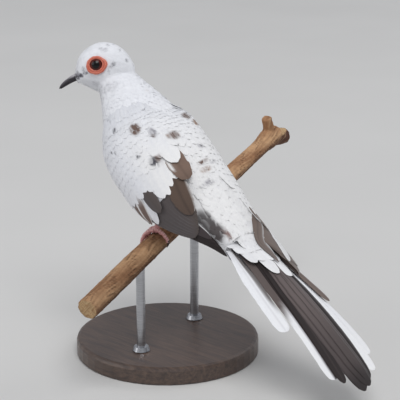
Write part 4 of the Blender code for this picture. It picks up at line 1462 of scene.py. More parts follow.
class Mantle:
    """Feathers over back and rump that bridge the two wings and close the clefts beside them.

    The sheet they lie on is widened over the clefts, narrowed again and smoothed, in so many steps of each.
    """

    reach: float = 30.0
    above: float = 12.0
    lowest: float = -9.0
    highest: float = 4.5
    widened: int = 6
    narrowed: int = 4
    smoothed: int = 8

    def __init__(self, trees: list[BVHTree]) -> None:
        """Measures how high wings, back and tail stand, and spans a smooth sheet over them.

        Args:
            trees: Surfaces in millimetres.
        """
        self.base = Wing(Side.RIGHT)
        self.along = np.linspace(-28.0, 82.0, 111)
        self.arcs = np.linspace(-self.reach, self.reach, 61)
        x, arc = np.meshgrid(self.along, self.arcs, indexing="ij")
        start = self.base.surface(x, arc, np.full_like(x, self.above)).reshape(-1, 3)
        way = unit(self.base.surface(x, arc, np.full_like(x, self.above - 1.0)).reshape(-1, 3) - start)
        lifts = []
        for one, towards in zip(start, way):
            hits = [tree.ray_cast(Vector(one), Vector(towards)) for tree in trees]
            gaps = [hit[3] for hit in hits if hit[0]]
            lifts.append(self.above - min(gaps) if gaps else self.lowest)
        field = np.clip(np.array(lifts).reshape(x.shape), self.lowest, self.highest)
        for most in (np.maximum,) * self.widened + (np.minimum,) * self.narrowed:
            field = most.reduce(self.neighbours(field))
        for _ in range(self.smoothed):
            middle, *around = self.neighbours(field)
            field = (middle * 2.0 + sum(around)) / 6.0
        self.field = field
        self.sheet = self.surface(x, arc, np.zeros_like(x))
        self.places = np.stack((x, arc), axis=-1)

    @staticmethod
    def neighbours(field: Array) -> list[Array]:
        """A height field, and the same one shifted by a place to each of four sides."""
        padded = np.pad(field, 1, mode="edge")
        return [field, padded[2:, 1:-1], padded[:-2, 1:-1], padded[1:-1, 2:], padded[1:-1, :-2]]

    def surface(self, along: Array, arc: Array, lift: Array) -> Array:
        """Room points over the smoothed back.

        Args:
            along: Place along the body.
            arc: Signed arc length from the middle, positive to the bird's right.
            lift: Height over the smoothed back.

        Returns:
            Room points.
        """
        i = np.clip((along - self.along[0]) / (self.along[1] - self.along[0]), 0.0, len(self.along) - 1.001)
        j = np.clip((arc - self.arcs[0]) / (self.arcs[1] - self.arcs[0]), 0.0, len(self.arcs) - 1.001)
        a, b = i.astype(int), j.astype(int)
        u, v = i - a, j - b
        height = ((self.field[a, b] * (1 - v) + self.field[a, b + 1] * v) * (1 - u)
                  + (self.field[a + 1, b] * (1 - v) + self.field[a + 1, b + 1] * v) * u)
        return self.base.surface(along, arc, height + lift)

    def seen(self, across: float, down: float) -> tuple[float, float]:
        """Place on the sheet that is seen at a place in the frame.

        Args:
            across, down: The place in the frame.

        Returns:
            Place along the body and arc length.
        """
        start, way = (np.array(part) for part in CAMERA.ray(across, down))
        gap = self.sheet - start
        along = gap @ way
        aside = np.linalg.norm(gap - along[..., None] * way, axis=-1)
        best = np.unravel_index(np.argmin(aside + 0.02 * along), aside.shape)
        return tuple(float(value) for value in self.places[best])

    def rows(self) -> list[Feather]:
        """White feathers in rows from the shoulders to the tail's root.

        Returns:
            The feathers.
        """
        random = np.random.default_rng(5)
        made = []
        for k, along in enumerate(np.arange(-21.0, 59.0, 2.9)):
            size = float(np.interp(along, (-21.0, 36.0, 50.0), (1.9, 2.9, 3.2)))
            left = -float(np.interp(along, (-21.0, -10.0, 3.0, 16.0, 20.0, 36.0, 45.0, 51.0, 55.0, 58.0),
                                    (9.0, 9.5, 6.4, 7.2, 11.5, 14.0, 15.0, 13.5, 9.5, 9.0)))
            right = float(np.interp(along, (-21.0, -8.0, 4.0, 20.0, 36.0, 48.0),
                                    (15.0, 18.0, 22.0, 27.0, 22.0, 14.0)))
            count = round((right - left) / (size * 1.2))
            for j in range(count + 1):
                arc = left + (right - left) * (j + 0.5 * (k % 2)) / count
                if arc > right:
                    continue
                arc += random.normal(0.0, 0.25)
                tip = along + random.normal(0.0, 0.5)
                lift = float(0.30 - 0.25 * ramp(36.0, 60.0, along) + 0.012 * (j % 3))
                root = (tip - size * 3.8, arc * 0.94)
                made.append(Feather(root, (tip, arc), size, -0.4, lift, slant=0.0, point=0.5, blunt=0.12))
        return made

    def crossed(self) -> list[Feather]:
        """The right wing's longest feathers, which lie along the tail's edge."""
        lines = (
            ((249.0, 208.0), (277.5, 262.0), 3.1, 0.1, 0.8, Pattern.FRINGED),
            ((259.0, 212.0), (296.0, 268.0), 3.3, 0.1, 1.9, Pattern.FRINGED),
            ((266.0, 222.0), (310.0, 276.5), 3.1, 0.1, 1.6, Pattern.FRINGED),
            ((260.0, 222.0), (287.0, 264.0), 1.0, 0.6, 2.0, Pattern.PALE),
        )
        return [Feather(self.seen(*root), self.seen(*tip), *make) for root, tip, *make in lines]

    def build(self, finish: Material, markings: Markings) -> None:
        """Lays the feathers.

        Args:
            finish: Plumage material.
            markings: Darker patches.
        """
        short_feathers(self.surface, 1.0, markings).build("mantle", self.rows(), finish, "white_plumage")
        long_ones = LaidFeathers(self.surface, -1.0, thickness=0.1)
        long_ones.build("crossed_primaries", self.crossed(), finish, "wing_plumage")


@dataclass
class Tail:
    """Tail feathers fanned flat, with white coverts over and under their roots."""

    root: float = 50.5
    start: float = 50.0

    def surface(self, along: Array, across: Array, lift: Array) -> Array:
        """Room points over the tail's plane, arched at the root and flatter towards the tips.

        Args:
            along, across: The place along the body and across it.
            lift: Height over the plane.

        Returns:
            Room points.
        """
        past = along - self.start
        share = np.clip(past / 60.0, 0.0, 1.0)
        arch = 0.012 * (1.0 - share) + 0.0015 * share
        height = 7.0 + 0.028 * past - arch * across * across + lift
        return place(STANCE.body(), np.stack((along, across, height), axis=-1))

    def rectrices(self) -> list[Feather]:
        """The long feathers, from the bird's left to its right.

        Returns:
            The feathers.
        """
        tips = (
            (-8.2, 95.6, -15.0, 3.4, Pattern.OUTER, 0.0),
            (-4.6, 123.6, -12.6, 3.3, Pattern.HALVED, 2.3),
            (-1.0, 124.5, -9.4, 2.8, Pattern.BLACK, 1.9),
            (1.0, 127.0, -10.4, 3.0, Pattern.BLACK, 1.9),
            (3.0, 134.0, -4.4, 4.3, Pattern.SLATY, 1.6),
            (4.5, 133.0, -0.6, 4.4, Pattern.SLATY, 1.0),
            (5.5, 131.4, 1.4, 3.5, Pattern.SLATY, 2.0),
            (6.5, 130.0, 3.4, 3.6, Pattern.BLACK, 3.2),
            (8.0, 128.4, 5.0, 2.7, Pattern.BLACK, 3.6),
            (8.0, 127.6, 9.6, 3.2, Pattern.PALE, 4.0),
            (9.0, 120.2, 15.0, 3.2, Pattern.PALE, 3.6),
            (11.0, 90.5, 19.8, 2.8, Pattern.FRINGED, 1.4),
        )
        made = []
        middle = (len(tips) - 1) / 2.0
        for k, (root, x, y, width, pattern, bow) in enumerate(tips):
            away = abs(k - middle) / middle
            lift = 1.3 if pattern is Pattern.FRINGED else 2.4 * (1.0 - away)
            square = pattern in (Pattern.OUTER, Pattern.HALVED, Pattern.PALE)
            point, blunt = (0.9, 0.5) if square else (0.84, 0.3)
            made.append(Feather((self.root, root), (x, y), width, lift, lift * 0.8 + 0.02 * k, pattern,
                                0.2 if k < middle else -0.2, point, blunt, bow))
        return made

    def upper_coverts(self) -> list[Feather]:
        """White feathers over the roots."""
        places = (
            (51.5, -8.0, 2.8, 2.2), (56.0, -6.2, 3.0, 2.5), (62.4, -3.9, 3.5, 2.8), (71.0, 2.3, 3.9, 3.0),
            (74.0, 8.8, 3.6, 2.6), (64.0, 5.6, 3.8, 3.0), (65.0, 10.0, 3.2, 2.7), (63.0, 0.4, 3.8, 3.0),
            (57.0, -2.4, 4.0, 2.8), (57.0, 3.0, 4.2, 2.9), (57.0, 8.0, 4.0, 2.7),
        )
        return [Feather((42.0, y * 0.7), (x, y), width, 1.6, lift, slant=0.0, blunt=0.3)
                for x, y, width, lift in places]

    def under_coverts(self) -> list[Feather]:
        """White feathers under the roots."""
        places = (
            (62.0, -5.4, -2.0), (70.0, -3.6, -1.9), (78.0, 0.0, -1.7), (70.0, 3.6, -1.9), (62.0, 5.4, -2.0),
            (60.0, -2.4, -2.6), (60.0, 2.4, -2.6),
        )
        return [Feather((44.0, y * 0.6), (x, y), 4.0, -3.2, lift, slant=0.0, point=0.55)
                for x, y, lift in places]

    def build(self, finish: Material) -> list[BVHTree]:
        """Builds the tail's pieces.

        Args:
            finish: Plumage material.

        Returns:
            The surfaces seen from above.
        """
        long_ones = self.rectrices()
        left, right = (LaidFeathers(self.surface, inner, rows=28) for inner in (1.0, -1.0))
        short = LaidFeathers(self.surface, 1.0, rows=12, soft=0.85, camber=0.12)
        made = [
            left.build("tail_feathers_left", long_ones[:6], finish, "tail_plumage", "tail"),
            right.build("tail_feathers_right", long_ones[6:], finish, "tail_plumage"),
            short.build("upper_tail_coverts", self.upper_coverts(), finish, "white_plumage"),
        ]
        short.build("under_tail_coverts", self.under_coverts(), finish, "white_plumage")
        return [tree_of(piece) for piece in made]


def loft(name: str, rings: Array, tones: Array) -> Object:
    """Closed skin over rings, capped at both ends.

    Args:
        name: The piece's name.
        rings: Points in millimetres, (rings, points, 3).
        tones: Their colours.

    Returns:
        The new object, facing outwards.
    """
    count, around, _ = rings.shape
    faces = []
    for r in range(count - 1):
        a, b = r * around, (r + 1) * around
        faces += [(a + i, a + (i + 1) % around, b + (i + 1) % around, b + i) for i in range(around)]
    faces.append(tuple(reversed(range(around))))
    faces.append(tuple(range((count - 1) * around, count * around)))
    middle = rings.mean(axis=1)
    turn = np.cross(rings[0, 1] - middle[0], rings[0, 2] - middle[0])
    if turn @ (middle[1] - middle[0]) < 0.0:
        faces = [tuple(reversed(face)) for face in faces]
    mesh = bpy.data.meshes.new(name)
    mesh.from_pydata([tuple(point * MM) for point in rings.reshape(-1, 3)], [], faces)
    mesh.polygons.foreach_set("use_smooth", [len(face.vertices) == 4 for face in mesh.polygons])
    paint_points(mesh, tones)
    return added(name, mesh)


@dataclass
class TonedFinish(Finish):
    """Surface coloured by its tone attribute, with mottling and fine relief of its own."""

    mottle_scale: float = 900.0
    mottle: float = 0.3
    relief_scale: float = 2200.0
    relief: float = 0.00005
    coat_roughness: float = 0.1
    specular: float = 0.4
    stretch: Place = (1.0, 1.0, 1.0)

    def shade(self) -> None:
        """Adds mottling, gloss and grain."""
        self.toned((0.45, 0.42, 0.42), self.noise(self.mottle_scale, 4.0, self.stretch), self.mottle)
        self.set(self.shader, {"Specular IOR Level": self.specular, "Coat Roughness": self.coat_roughness})
        self.bump(self.noise(self.relief_scale, 5.0, self.stretch), self.relief, 0.7)


@dataclass
class Bill:
    """Slim horn bill in two halves, with slit nostrils and a bent tip."""

    at: Place = (13.3, 0.0, -3.7)
    drop: float = math.radians(26.5)
    length: float = 8.7
    half_height: float = 1.62
    half_width: float = 1.55
    rows: int = 44
    around: int = 32

    def half(self, upper: bool) -> Object:
        """One half of the bill.

        Args:
            upper: Whether it is the upper one.

        Returns:
            The object.
        """
        share = np.linspace(-0.30, 1.0, self.rows)
        along = share * (1.0 if upper else 0.94)
        t = np.maximum(along, 0.0)
        droop = -1.1 * t**2.6
        if upper:
            height = self.half_height * (1.0 - 0.40 * t**0.8 - 0.46 * t**7)
            height = height * (1.0 + 0.10 * np.exp(-((t - 0.22) / 0.12) ** 2))
            width = self.half_width * (1.0 - 0.30 * t**0.7 - 0.56 * t**4)
        else:
            height = self.half_height * 0.80 * (1.0 - 0.50 * t**0.9 - 0.35 * t**6)
            width = self.half_width * 0.90 * (1.0 - 0.30 * t**0.7 - 0.54 * t**4)
        sign = 1.0 if upper else -1.0
        bulge = 0.10 * np.exp(-((t - 0.62) / 0.2) ** 2) * sign
        angle = np.linspace(0.0, 2.0 * math.pi, self.around, endpoint=False)
        wave, lift = np.cos(angle), np.sin(angle)
        y = width[:, None] * np.sign(wave) * np.abs(wave) ** 0.9
        shell = np.where(lift >= 0.0, np.abs(lift) ** 0.85, -0.10 * np.abs(lift) ** 0.5)
        z = sign * (0.05 + height[:, None] * shell) + droop[:, None] + bulge[:, None] * 0.6
        x, facing = np.broadcast_arrays((along * self.length)[:, None], lift)
        t = t[:, None]
        high = ramp(0.55, 1.0, facing) * (1.0 if upper else 0.3)
        tones = blend(tint(58, 54, 60), tint(128, 124, 130), high * 0.75 * (1.0 - 0.7 * t ** 2))
        tones = blend(tones, tint(34, 31, 35), 0.8 * ramp(0.30, 0.0, facing))
        tones = blend(tones, tint(30, 27, 31), 0.6 * ramp(0.7, 1.0, t))
        if upper:
            slit = np.exp(-((x - 2.7) / 0.85) ** 2 - ((z - 0.62 - 0.1 * (x - 2.7)) / 0.22) ** 2)
            flap = np.exp(-((x - 2.3) / 1.1) ** 2 - ((z - 0.95) / 0.35) ** 2)
            y = y * (1.0 - 0.26 * slit + 0.10 * flap)
            pale = ramp(0.45, 0.05, t) * ramp(0.35, 0.85, facing)
            tones = blend(tones, tint(186, 184, 188), 0.85 * pale)
            tones = blend(tones, tint(24, 20, 22), 0.85 * slit)
        turn = Matrix.Translation(Vector(self.at) * MM) @ Matrix.Rotation(self.drop, 4, "Y")
        rings = place(STANCE.head() @ turn, np.stack((x, y, z), axis=-1))
        return loft("bill_upper_horn" if upper else "bill_lower_horn", rings, tones)

    def build(self) -> None:
        """Builds both halves."""
        horn = TonedFinish("bill_horn", 0.42, mottle_scale=2600.0, mottle=0.35, relief=0.00004, specular=0.45,
                           stretch=(0.35, 1.0, 1.0)).build()
        finish_piece(self.half(True), horn, "bill_horn", "bill_upper")
        finish_piece(self.half(False), horn, "bill_horn", "bill_lower")


@dataclass
class Eye:
    """Eyeball, lid margin and the bumpy bare ring of one side."""

    side: Side
    at: Place = (5.1, 8.7, 3.1)
    lean: float = math.radians(12.0)
    radius: float = 2.9
    flatness: float = 0.75
    ring: tuple[float, float] = (3.42, 3.02)
    flesh: float = 0.80

    def outward(self) -> Matrix:
        """From the eye's own frame, which looks along Z with X ahead, to the room's.

        Returns:
            The matrix.
        """
        sign, level, rise = -self.side.value, math.cos(self.lean), math.sin(self.lean)
        out = Vector((rise, sign * level * level, rise)).normalized()
        ahead = Vector((1.0, 0.0, -0.15))
        ahead = (ahead - out * ahead.dot(out)).normalized()
        turn = Matrix((ahead, out.cross(ahead), out)).transposed().to_4x4()
        spot = Vector((self.at[0], sign * self.at[1], self.at[2])) * MM
        return STANCE.head() @ Matrix.Translation(spot) @ turn

    def rise(self, away: Array) -> Array:
        """Height of the eyeball at a distance from its middle."""
        round_part = np.sqrt(np.clip(1.0 - (away / self.radius) ** 2, 0.0, 1.0))
        return -1.0 + self.radius * self.flatness * round_part

    def shaped(self, obj: Object, points: Array, tones: Array) -> Object:
        """Gives a piece of the eye its shape and colours.

        Args:
            obj: The piece.
            points: Its points in the eye's own frame.
            tones: Their colours.

        Returns:
            The same piece.
        """
        move_points(obj.data, place(self.outward(), points))
        shade_smooth(obj.data)
        paint_points(obj.data, tones)
        return obj

    def ball(self) -> Object:
        """The eyeball with pupil and iris.

        Returns:
            The object.
        """
        deselect()
        bpy.ops.mesh.primitive_uv_sphere_add(segments=64, ring_count=48, radius=self.radius * MM)
        eye = bpy.context.active_object
        eye.name = f"eyeball_{self.side.label}"
        points = points_of(eye.data)
        away = np.hypot(points[:, 0], points[:, 1])
        points[:, 2] *= self.flatness
        points[:, 2] += 0.16 * np.exp(-(away / 1.7) ** 2) * (points[:, 2] > 0.0)
        angle = np.arctan2(points[:, 1], points[:, 0])
        threads = 0.5 + 0.5 * np.sin(angle * 38.0 + 2.0 * np.sin(angle * 7.0))
        iris = blend(tint(92, 26, 16), tint(56, 14, 10), threads * 0.6)
        tones = blend(tint(6, 5, 6), iris, ramp(1.55, 1.85, away))
        tones = blend(tones, tint(20, 8, 7), ramp(2.35, 2.6, away))
        points[:, 2] -= 1.0
        return self.shaped(eye, points, tones)

    def torus(self, name: str, around: int, section: int) -> tuple[Object, Array, Array]:
        """A ring to be shaped.

        Args:
            name: The piece's name.
            around: Steps round the eye.
            section: Steps round the flesh.

        Returns:
            The object, and for each point its angle round the eye and its angle round the flesh.
        """
        deselect()
        bpy.ops.mesh.primitive_torus_add(major_segments=around, minor_segments=section, major_radius=3.0 * MM,
                                         minor_radius=1.0 * MM)
        ring = bpy.context.active_object
        ring.name = name
        points = points_of(ring.data)
        turn = np.arctan2(points[:, 1], points[:, 0])
        roll = np.arctan2(points[:, 2], np.hypot(points[:, 0], points[:, 1]) - 3.0)
        return ring, turn, roll

    def orbit(self) -> Object:
        """The bare ring, with a raised outer fold, a groove and rows of small warts.

        Returns:
            The object.
        """
        ring, turn, roll = self.torus(f"orbital_ring_{self.side.label}", 144, 28)
        down, outer = -self.side.value * np.sin(turn), np.cos(roll) > 0.0
        rear = np.clip(-np.cos(turn), 0.0, 1.0) ** 10 * outer
        fore = np.clip(0.82 * np.cos(turn) + 0.57 * down, 0.0, 1.0) ** 12 * outer
        warts = np.sin(turn * 34.0 + 1.5 * np.sin(turn * 5.0)) * np.cos(roll * 5.0 + np.sin(turn * 11.0))
        lumps = np.sin(turn * 9.0 + 1.0) + 0.7 * np.sin(turn * 14.0 + 2.0)
        groove = np.exp(-((roll - 1.7) / 0.22) ** 2)
        flesh = self.flesh * (1.0 + 0.055 * warts + 0.045 * lumps - 0.20 * groove)
        reach = np.cos(roll) * flesh * (1.02 + 0.18 * rear + 0.22 * down)
        x = np.cos(turn) * (self.ring[0] + reach) - rear * 0.45 + fore * 0.25
        y = np.sin(turn) * (self.ring[1] + reach)
        z = np.sin(roll) * flesh * 0.72 - np.hypot(x, y) ** 2 / 60.0 + 0.12
        # The groove, the inner edge against the eyeball and thin lines over the top are painted darker:
        # painted shade in the ring's creases.
        seams = np.exp(-((roll - 0.75 - 0.12 * np.sin(turn * 6.0)) / 0.12) ** 2)
        folds = 0.8 * groove + 0.4 * ramp(2.2, 3.0, np.abs(roll)) + 0.65 * seams
        # Each wart's top is painted lighter: a painted highlight on the warts.
        tones = blend(tint(222, 116, 90), tint(242, 156, 132), 0.5 + 0.5 * warts)
        tones = blend(tones, tint(156, 50, 38), folds)
        tones = blend(tones, tint(204, 90, 68), 0.2 + 0.2 * np.sin(turn * 3.0 + 0.6))
        return self.shaped(ring, np.stack((x, y, z), axis=-1), tones)

    def lid(self) -> Object:
        """The thin dark margin of the lids on the eyeball.

        Returns:
            The object.
        """
        ring, turn, roll = self.torus(f"eyelid_margin_{self.side.label}", 96, 12)
        inner = np.array(self.ring) - self.flesh + 0.02
        flesh = 0.15 * (1.0 + 0.08 * np.sin(turn * 40.0))
        middle = np.stack((np.cos(turn), np.sin(turn)), axis=-1) * inner
        x = middle[:, 0] + np.cos(turn) * np.cos(roll) * flesh
        y = middle[:, 1] + np.sin(turn) * np.cos(roll) * flesh
        z = self.rise(np.hypot(*middle.T)) + 0.05 + np.sin(roll) * flesh
        tones = blend(tint(112, 34, 28), tint(70, 22, 20), 0.5 + 0.5 * np.sin(turn * 17.0))
        return self.shaped(ring, np.stack((x, y, z), axis=-1), tones)

    def build(self) -> None:
        """Builds the side's eye."""
        name = self.side.label
        gloss = TonedFinish(f"eye_gloss_{name}", 0.06, mottle_scale=3000.0, mottle=0.1, relief=0.0,
                            coat_roughness=0.02, specular=0.3).build()
        skin = TonedFinish(f"orbital_skin_{name}", 0.38, mottle_scale=2400.0, mottle=0.4, relief_scale=4200.0,
                           relief=0.0001, specular=0.5).build()
        finish_piece(self.ball(), gloss, "eye_gloss", f"eye_{name}")
        finish_piece(self.orbit(), skin, "orbital_skin", f"eye_ring_{name}")
        finish_piece(self.lid(), skin, "orbital_skin")


@dataclass
class Perch:
    """The cut length of branch, its bark wrinkled along the grain and smoother where the feet hold it."""

    under_foot: Place = (2.9, -9.0, 55.2)
    rise: float = math.radians(13.7)
    skew: float = math.radians(-12.0)
    near: float = -58.0
    far: float = 116.0
    feet: tuple[float, float] = (0.0, 18.9)
    radius: float = 4.7
    voxel: float = 0.55

    def axis(self) -> Array:
        """Direction of the branch."""
        flat = math.cos(self.rise)
        return np.array((math.sin(self.skew) * flat, math.cos(self.skew) * flat, math.sin(self.rise)))

    def across(self) -> tuple[Array, Array]:
        """Directions square to the branch.

        Returns:
            The level one and the one most nearly upright.
        """
        axis = self.axis()
        up = unit(np.array((0.0, 0.0, 1.0)) - axis * axis[2])
        return np.cross(up, axis), up

    def point(self, t: Array) -> Array:
        """Middle of the branch.

        Args:
            t: Places along it, in millimetres from the left foot.

        Returns:
            A point at each.
        """
        t = np.asarray(t, float)
        side, up = self.across()
        free = np.minimum(1.0, np.abs(t - 9.0) / 30.0)
        bend = (0.5 * np.sin(0.045 * t + 0.4) * free)[..., None]
        sway = (0.6 * np.sin(0.031 * t + 2.0) * free)[..., None]
        return np.array(self.under_foot) + self.axis() * t[..., None] + up * bend + side * sway

    def thick(self, t: float) -> float:
        """Radius of the branch."""
        return self.radius * (1.0 - 0.0010 * (t + 10.0))

    def build(self) -> None:
        """Grows bark over the branch's own shape."""
        branch = cad_copy("perch_bark", "perch")
        remesh(branch, self.voxel, 4)
        mesh = branch.data
        points, normals = points_of(mesh), normals_of(mesh)
        side, up = self.across()
        t = (points - np.array(self.under_foot)) @ self.axis()
        spoke = points - self.point(t)
        away = np.linalg.norm(spoke, axis=1)
        angle = np.arctan2(spoke @ up, spoke @ side)
        warp = 0.9 * np.sin(t * 0.11 + 2.0 * np.sin(angle))
        warp += 0.5 * np.sin(t * 0.31 + 3.0 * np.sin(angle * 2.0))
        folds = np.sin(angle * 13.0 + warp * 2.2) + 0.6 * np.sin(angle * 29.0 + warp * 3.1 + t * 0.2)
        cracks = np.clip(np.sin(angle * 19.0 + warp * 4.0 + 0.9 * np.sin(t * 0.45)), 0.0, 1.0) ** 6
        cracks = cracks * ramp(-0.2, 0.6, np.sin(t * 0.37 + angle * 2.0))
        rings = np.clip(np.sin(t * 0.55 + 0.8 * np.sin(angle * 3.0)), 0.0, 1.0) ** 10
        ends = ramp(0.5, 0.0, t - self.near) + ramp(-0.5, 0.0, t - self.far) * (away < 4.0)
        left, right = (ramp(3.0, 9.0, np.abs(t - foot)) for foot in self.feet)
        free = 0.45 + 0.55 * left * right
        depth = (0.10 * folds + 0.10 - 0.32 * cracks + 0.10 * rings) * free * (1.0 - np.clip(ends, 0.0, 1.0))
        move_points(mesh, points + normals * np.clip(depth - 0.12, -0.6, 0.25)[:, None])
        shade_smooth(mesh)
        patches = 0.5 + 0.5 * np.sin(t * 0.16 + 2.3 * np.sin(angle + 0.8) + 1.0)
        tones = blend(tint(196, 156, 118), tint(150, 108, 78), patches * 0.8)
        shaded = ramp(0.45, -0.75, spoke @ up / np.maximum(away, 1e-6))
        tones = blend(tones, tint(84, 52, 42), 0.95 * shaded)
        tones = blend(tones, tint(222, 190, 152), 0.35 * ramp(0.6, 1.6, folds))
        tones = blend(tones, tint(70, 46, 36), 0.8 * cracks + 0.25 * ramp(-0.6, -1.5, folds))
        grain = 0.5 + 0.5 * np.sin(away * 9.0 + 0.4 * np.sin(angle * 3.0))
        tones = blend(tones, blend(tint(214, 184, 142), tint(176, 138, 98), grain), ends)
        # Darker towards the near, left end and lighter towards the far end: painted shade over the near end
        # of the branch.
        tones = tones * (0.86 + 0.22 * ramp(-30.0, 70.0, t))[:, None]
        paint_points(mesh, tones)
        bark = TonedFinish("bark", 0.85, mottle_scale=420.0, mottle=0.55, relief_scale=1500.0, relief=0.0003,
                           specular=0.2).build()
        finish_piece(branch, bark, "bark", "perch")


@dataclass
class Foot:
    """Shank, toes with scutes and dark claws of one side, gripping the perch.

    A toe is its angle round the perch at root and tip, in degrees, and its drift along the perch at both.
    """

    side: Side
    perch: Perch
    toe_radius: float = 0.95
    shank_radius: float = 1.25
    spread: float = 9.0
    toes: tuple[tuple[float, ...], ...] = (
        (-6.0, 118.0, 0.0, 0.6),
        (4.0, 98.0, 1.0, 3.9),
        (4.0, 92.0, -1.0, -3.6),
        (-2.0, -78.0, -0.3, -0.8),
    )
    knees: dict[Side, Place] = field(
        default_factory=lambda: {Side.LEFT: (14.0, -9.2, -7.9), Side.RIGHT: (12.5, 9.2, -6.6)})

    def spot(self) -> tuple[Array, Array, Array, Array, float]:
        """Where the foot stands.

        Returns:
            Middle of the perch under it, the ways forward, up and along the perch, and the perch's radius.
        """
        t = 0.0
        if self.side is Side.RIGHT:
            t = 2.0 * self.spread / math.cos(self.perch.skew) / math.cos(self.perch.rise)
        across, up = self.perch.across()
        ahead = across if across[0] < 0 else -across
        return self.perch.point(t), ahead, up, self.perch.axis(), self.perch.thick(t)

    def pipe(self, name: str, path: Array, radii: Array, back: Array, scutes: float, skin: bool = True
             ) -> Object:
        """A scaled toe or shank.

        Args:
            name: The piece's name.
            path: Middle line in millimetres.
            radii: Radius along it.
            back: Direction away from the perch at each point, where the scutes lie.
            scutes: How many scutes there are; none gives a smooth claw.
            skin: Whether it is skin and not horn.

        Returns:
            The object.
        """
        count, around = len(path), 18
        ways = unit(np.gradient(path, axis=0))
        up = unit(back - ways * np.sum(back * ways, axis=1, keepdims=True))
        side = np.cross(ways, up)
        angle = np.linspace(0.0, 2.0 * math.pi, around, endpoint=False)
        share = np.linspace(0.0, 1.0, count)
        phase = (share * scutes) % 1.0
        topside = ramp(-0.1, 0.7, np.sin(angle))[None, :]
        plates = (0.085 * phase - 0.10 * np.exp(-(phase / 0.10) ** 2))[:, None] * topside if scutes else 0.0
        grains = 0.035 * np.sin(angle * 5.0 + share[:, None] * 90.0) * (1.0 - topside) if scutes else 0.0
        reach = radii[:, None] * (1.0 + plates + grains)
        rise, reach = np.sin(angle) * reach, np.cos(angle) * reach * 0.94
        rings = path[:, None] + up[:, None] * rise[..., None] + side[:, None] * reach[..., None]
        if skin:
            tones = blend(tint(212, 152, 150), tint(238, 196, 190), phase[:, None] * topside)
            seams = np.exp(-(phase / 0.13) ** 2)[:, None]
            tones = blend(tones, tint(150, 92, 94), seams * (0.2 + 0.5 * topside))
            tones = blend(tones, tint(182, 124, 124), 0.5 * (1.0 - topside) * np.ones((count, 1)))
        else:
            tones = blend(tint(84, 68, 66), tint(36, 30, 32), share[:, None] * np.ones((1, around)))
        return loft(name, rings, tones)

    def build(self) -> None:
        """Builds toes, claws and shank."""
        name = self.side.label
        centre, ahead, up, axis, radius = self.spot()
        skins, claws = [], []
        share, s = np.linspace(0.0, 1.0, 72), np.linspace(0.0, 1.0, 22)[:, None]
        for number, (start, end, begin, finish) in enumerate(self.toes):
            angle = np.radians(start + (end - start) * share)
            drift = begin + (finish - begin) * share
            out = np.sin(angle)[:, None] * ahead + np.cos(angle)[:, None] * up
            pads = 0.35 * np.abs(np.sin(math.pi * share * 3.0))
            reach = radius + 0.35 + self.toe_radius + pads
            path = centre + out * reach[:, None] + axis * drift[:, None]
            thick = self.toe_radius * (1.0 + 0.08 * np.cos(share * 6.0 * math.pi)) * (1.0 - 0.18 * share)
            skins.append(self.pipe(f"toe_{name}_{number}", path, thick, out, 11.0))
            way, last = unit(path[-1] - path[-2]), out[-1]
            curl = 0.15 + 0.55 * np.sin(math.pi * s * 0.8) - 0.75 * s**2
            hook = path[-1] + way * (-0.8 + 3.8 * s) + last * curl
            thick = 0.68 * (1.0 - s[:, 0]) ** 0.75 + 0.05
            last = np.broadcast_to(last, hook.shape)
            claws.append(self.pipe(f"claw_{name}_{number}", hook, thick, last, 0.0, False))
        low = centre + up * (radius + 0.45 + 1.0)
        high = place(STANCE.body(), self.knees[self.side])
        s = np.linspace(0.0, 1.0, 60)[:, None]
        path = low - unit(high - low) * 0.6 + (high - low) * s * 0.86
        swell = self.shank_radius * (1.0 + 0.22 * np.exp(-(s[:, 0] / 0.12) ** 2))
        skins.append(self.pipe(f"shank_{name}", path, swell, np.broadcast_to(ahead, path.shape), 12.0))
        palm = np.linspace(-1.0, 1.0, 18)
        girth = 1.5 * np.sqrt(np.clip(1.0 - palm**2, 0.02, 1.0))
        path = centre + up * (radius + 1.5) + ahead * palm[:, None] * 1.9
        skins.append(self.pipe(f"palm_{name}", path, girth, np.broadcast_to(up, path.shape), 6.0))
        skin = TonedFinish(f"leg_skin_{name}", 0.55, mottle_scale=1800.0, mottle=0.3, relief_scale=3800.0,
                           relief=0.00006, specular=0.4).build()
        horn = TonedFinish(f"claw_horn_{name}", 0.38, mottle_scale=2600.0, mottle=0.3, relief=0.00003).build()
        finish_piece(joined(f"foot_skin_{name}", skins), skin, "leg_skin", f"foot_{name}", f"leg_{name}")
        finish_piece(joined(f"claws_{name}", claws), horn, "leg_skin")


@dataclass
class StandWoodFinish(Finish):
    """Dark turned wood with fine grain under a satin varnish."""

    name: str = "stand_wood"
    roughness: float = 0.42
    colour: Colour = tint(66, 54, 50)

    def shade(self) -> None:
        """Adds grain, pores and varnish."""
        pores = self.noise(260.0, 3.0, (1.0, 18.0, 18.0))
        grained = self.mixed(self.colour, tint(104, 84, 72), self.noise(60.0, 6.0, (1.0, 14.0, 14.0)))
        self.mixed(grained, tint(44, 35, 33), pores, most=0.5)
        self.set(self.shader, {"Coat Weight": 0.25, "Coat Roughness": 0.3})
        self.bump(pores, 0.0001, 0.3)


@dataclass
class StandSteelFinish(Finish):
    """Steel brushed round the rod."""

    name: str = "stand_steel"
    roughness: float = 0.3
    colour: Colour = tint(196, 197, 200)

    def shade(self) -> None:
        """Adds the brushed lines."""
        lines = self.noise(120.0, 5.0, (1.0, 1.0, 60.0))
        self.mixed(self.colour, tint(150, 151, 156), lines)
        self.set(self.shader, {"Metallic": 1.0})
        self.bump(lines, 0.00003, 0.4)


class Stand:
    """Dresses the base and the rods, whose solids have their true shape."""

    @staticmethod
    def dress() -> None:
        """Gives the nodes their materials."""
        wood, steel = StandWoodFinish().build(), StandSteelFinish().build()
        for name, material in (("stand_base", wood), ("stand_rod_1", steel), ("stand_rod_2", steel)):
            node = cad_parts[name]
            for slot in node.material_slots:
                slot.material = material
            LOG.info("%s: dressed", name)


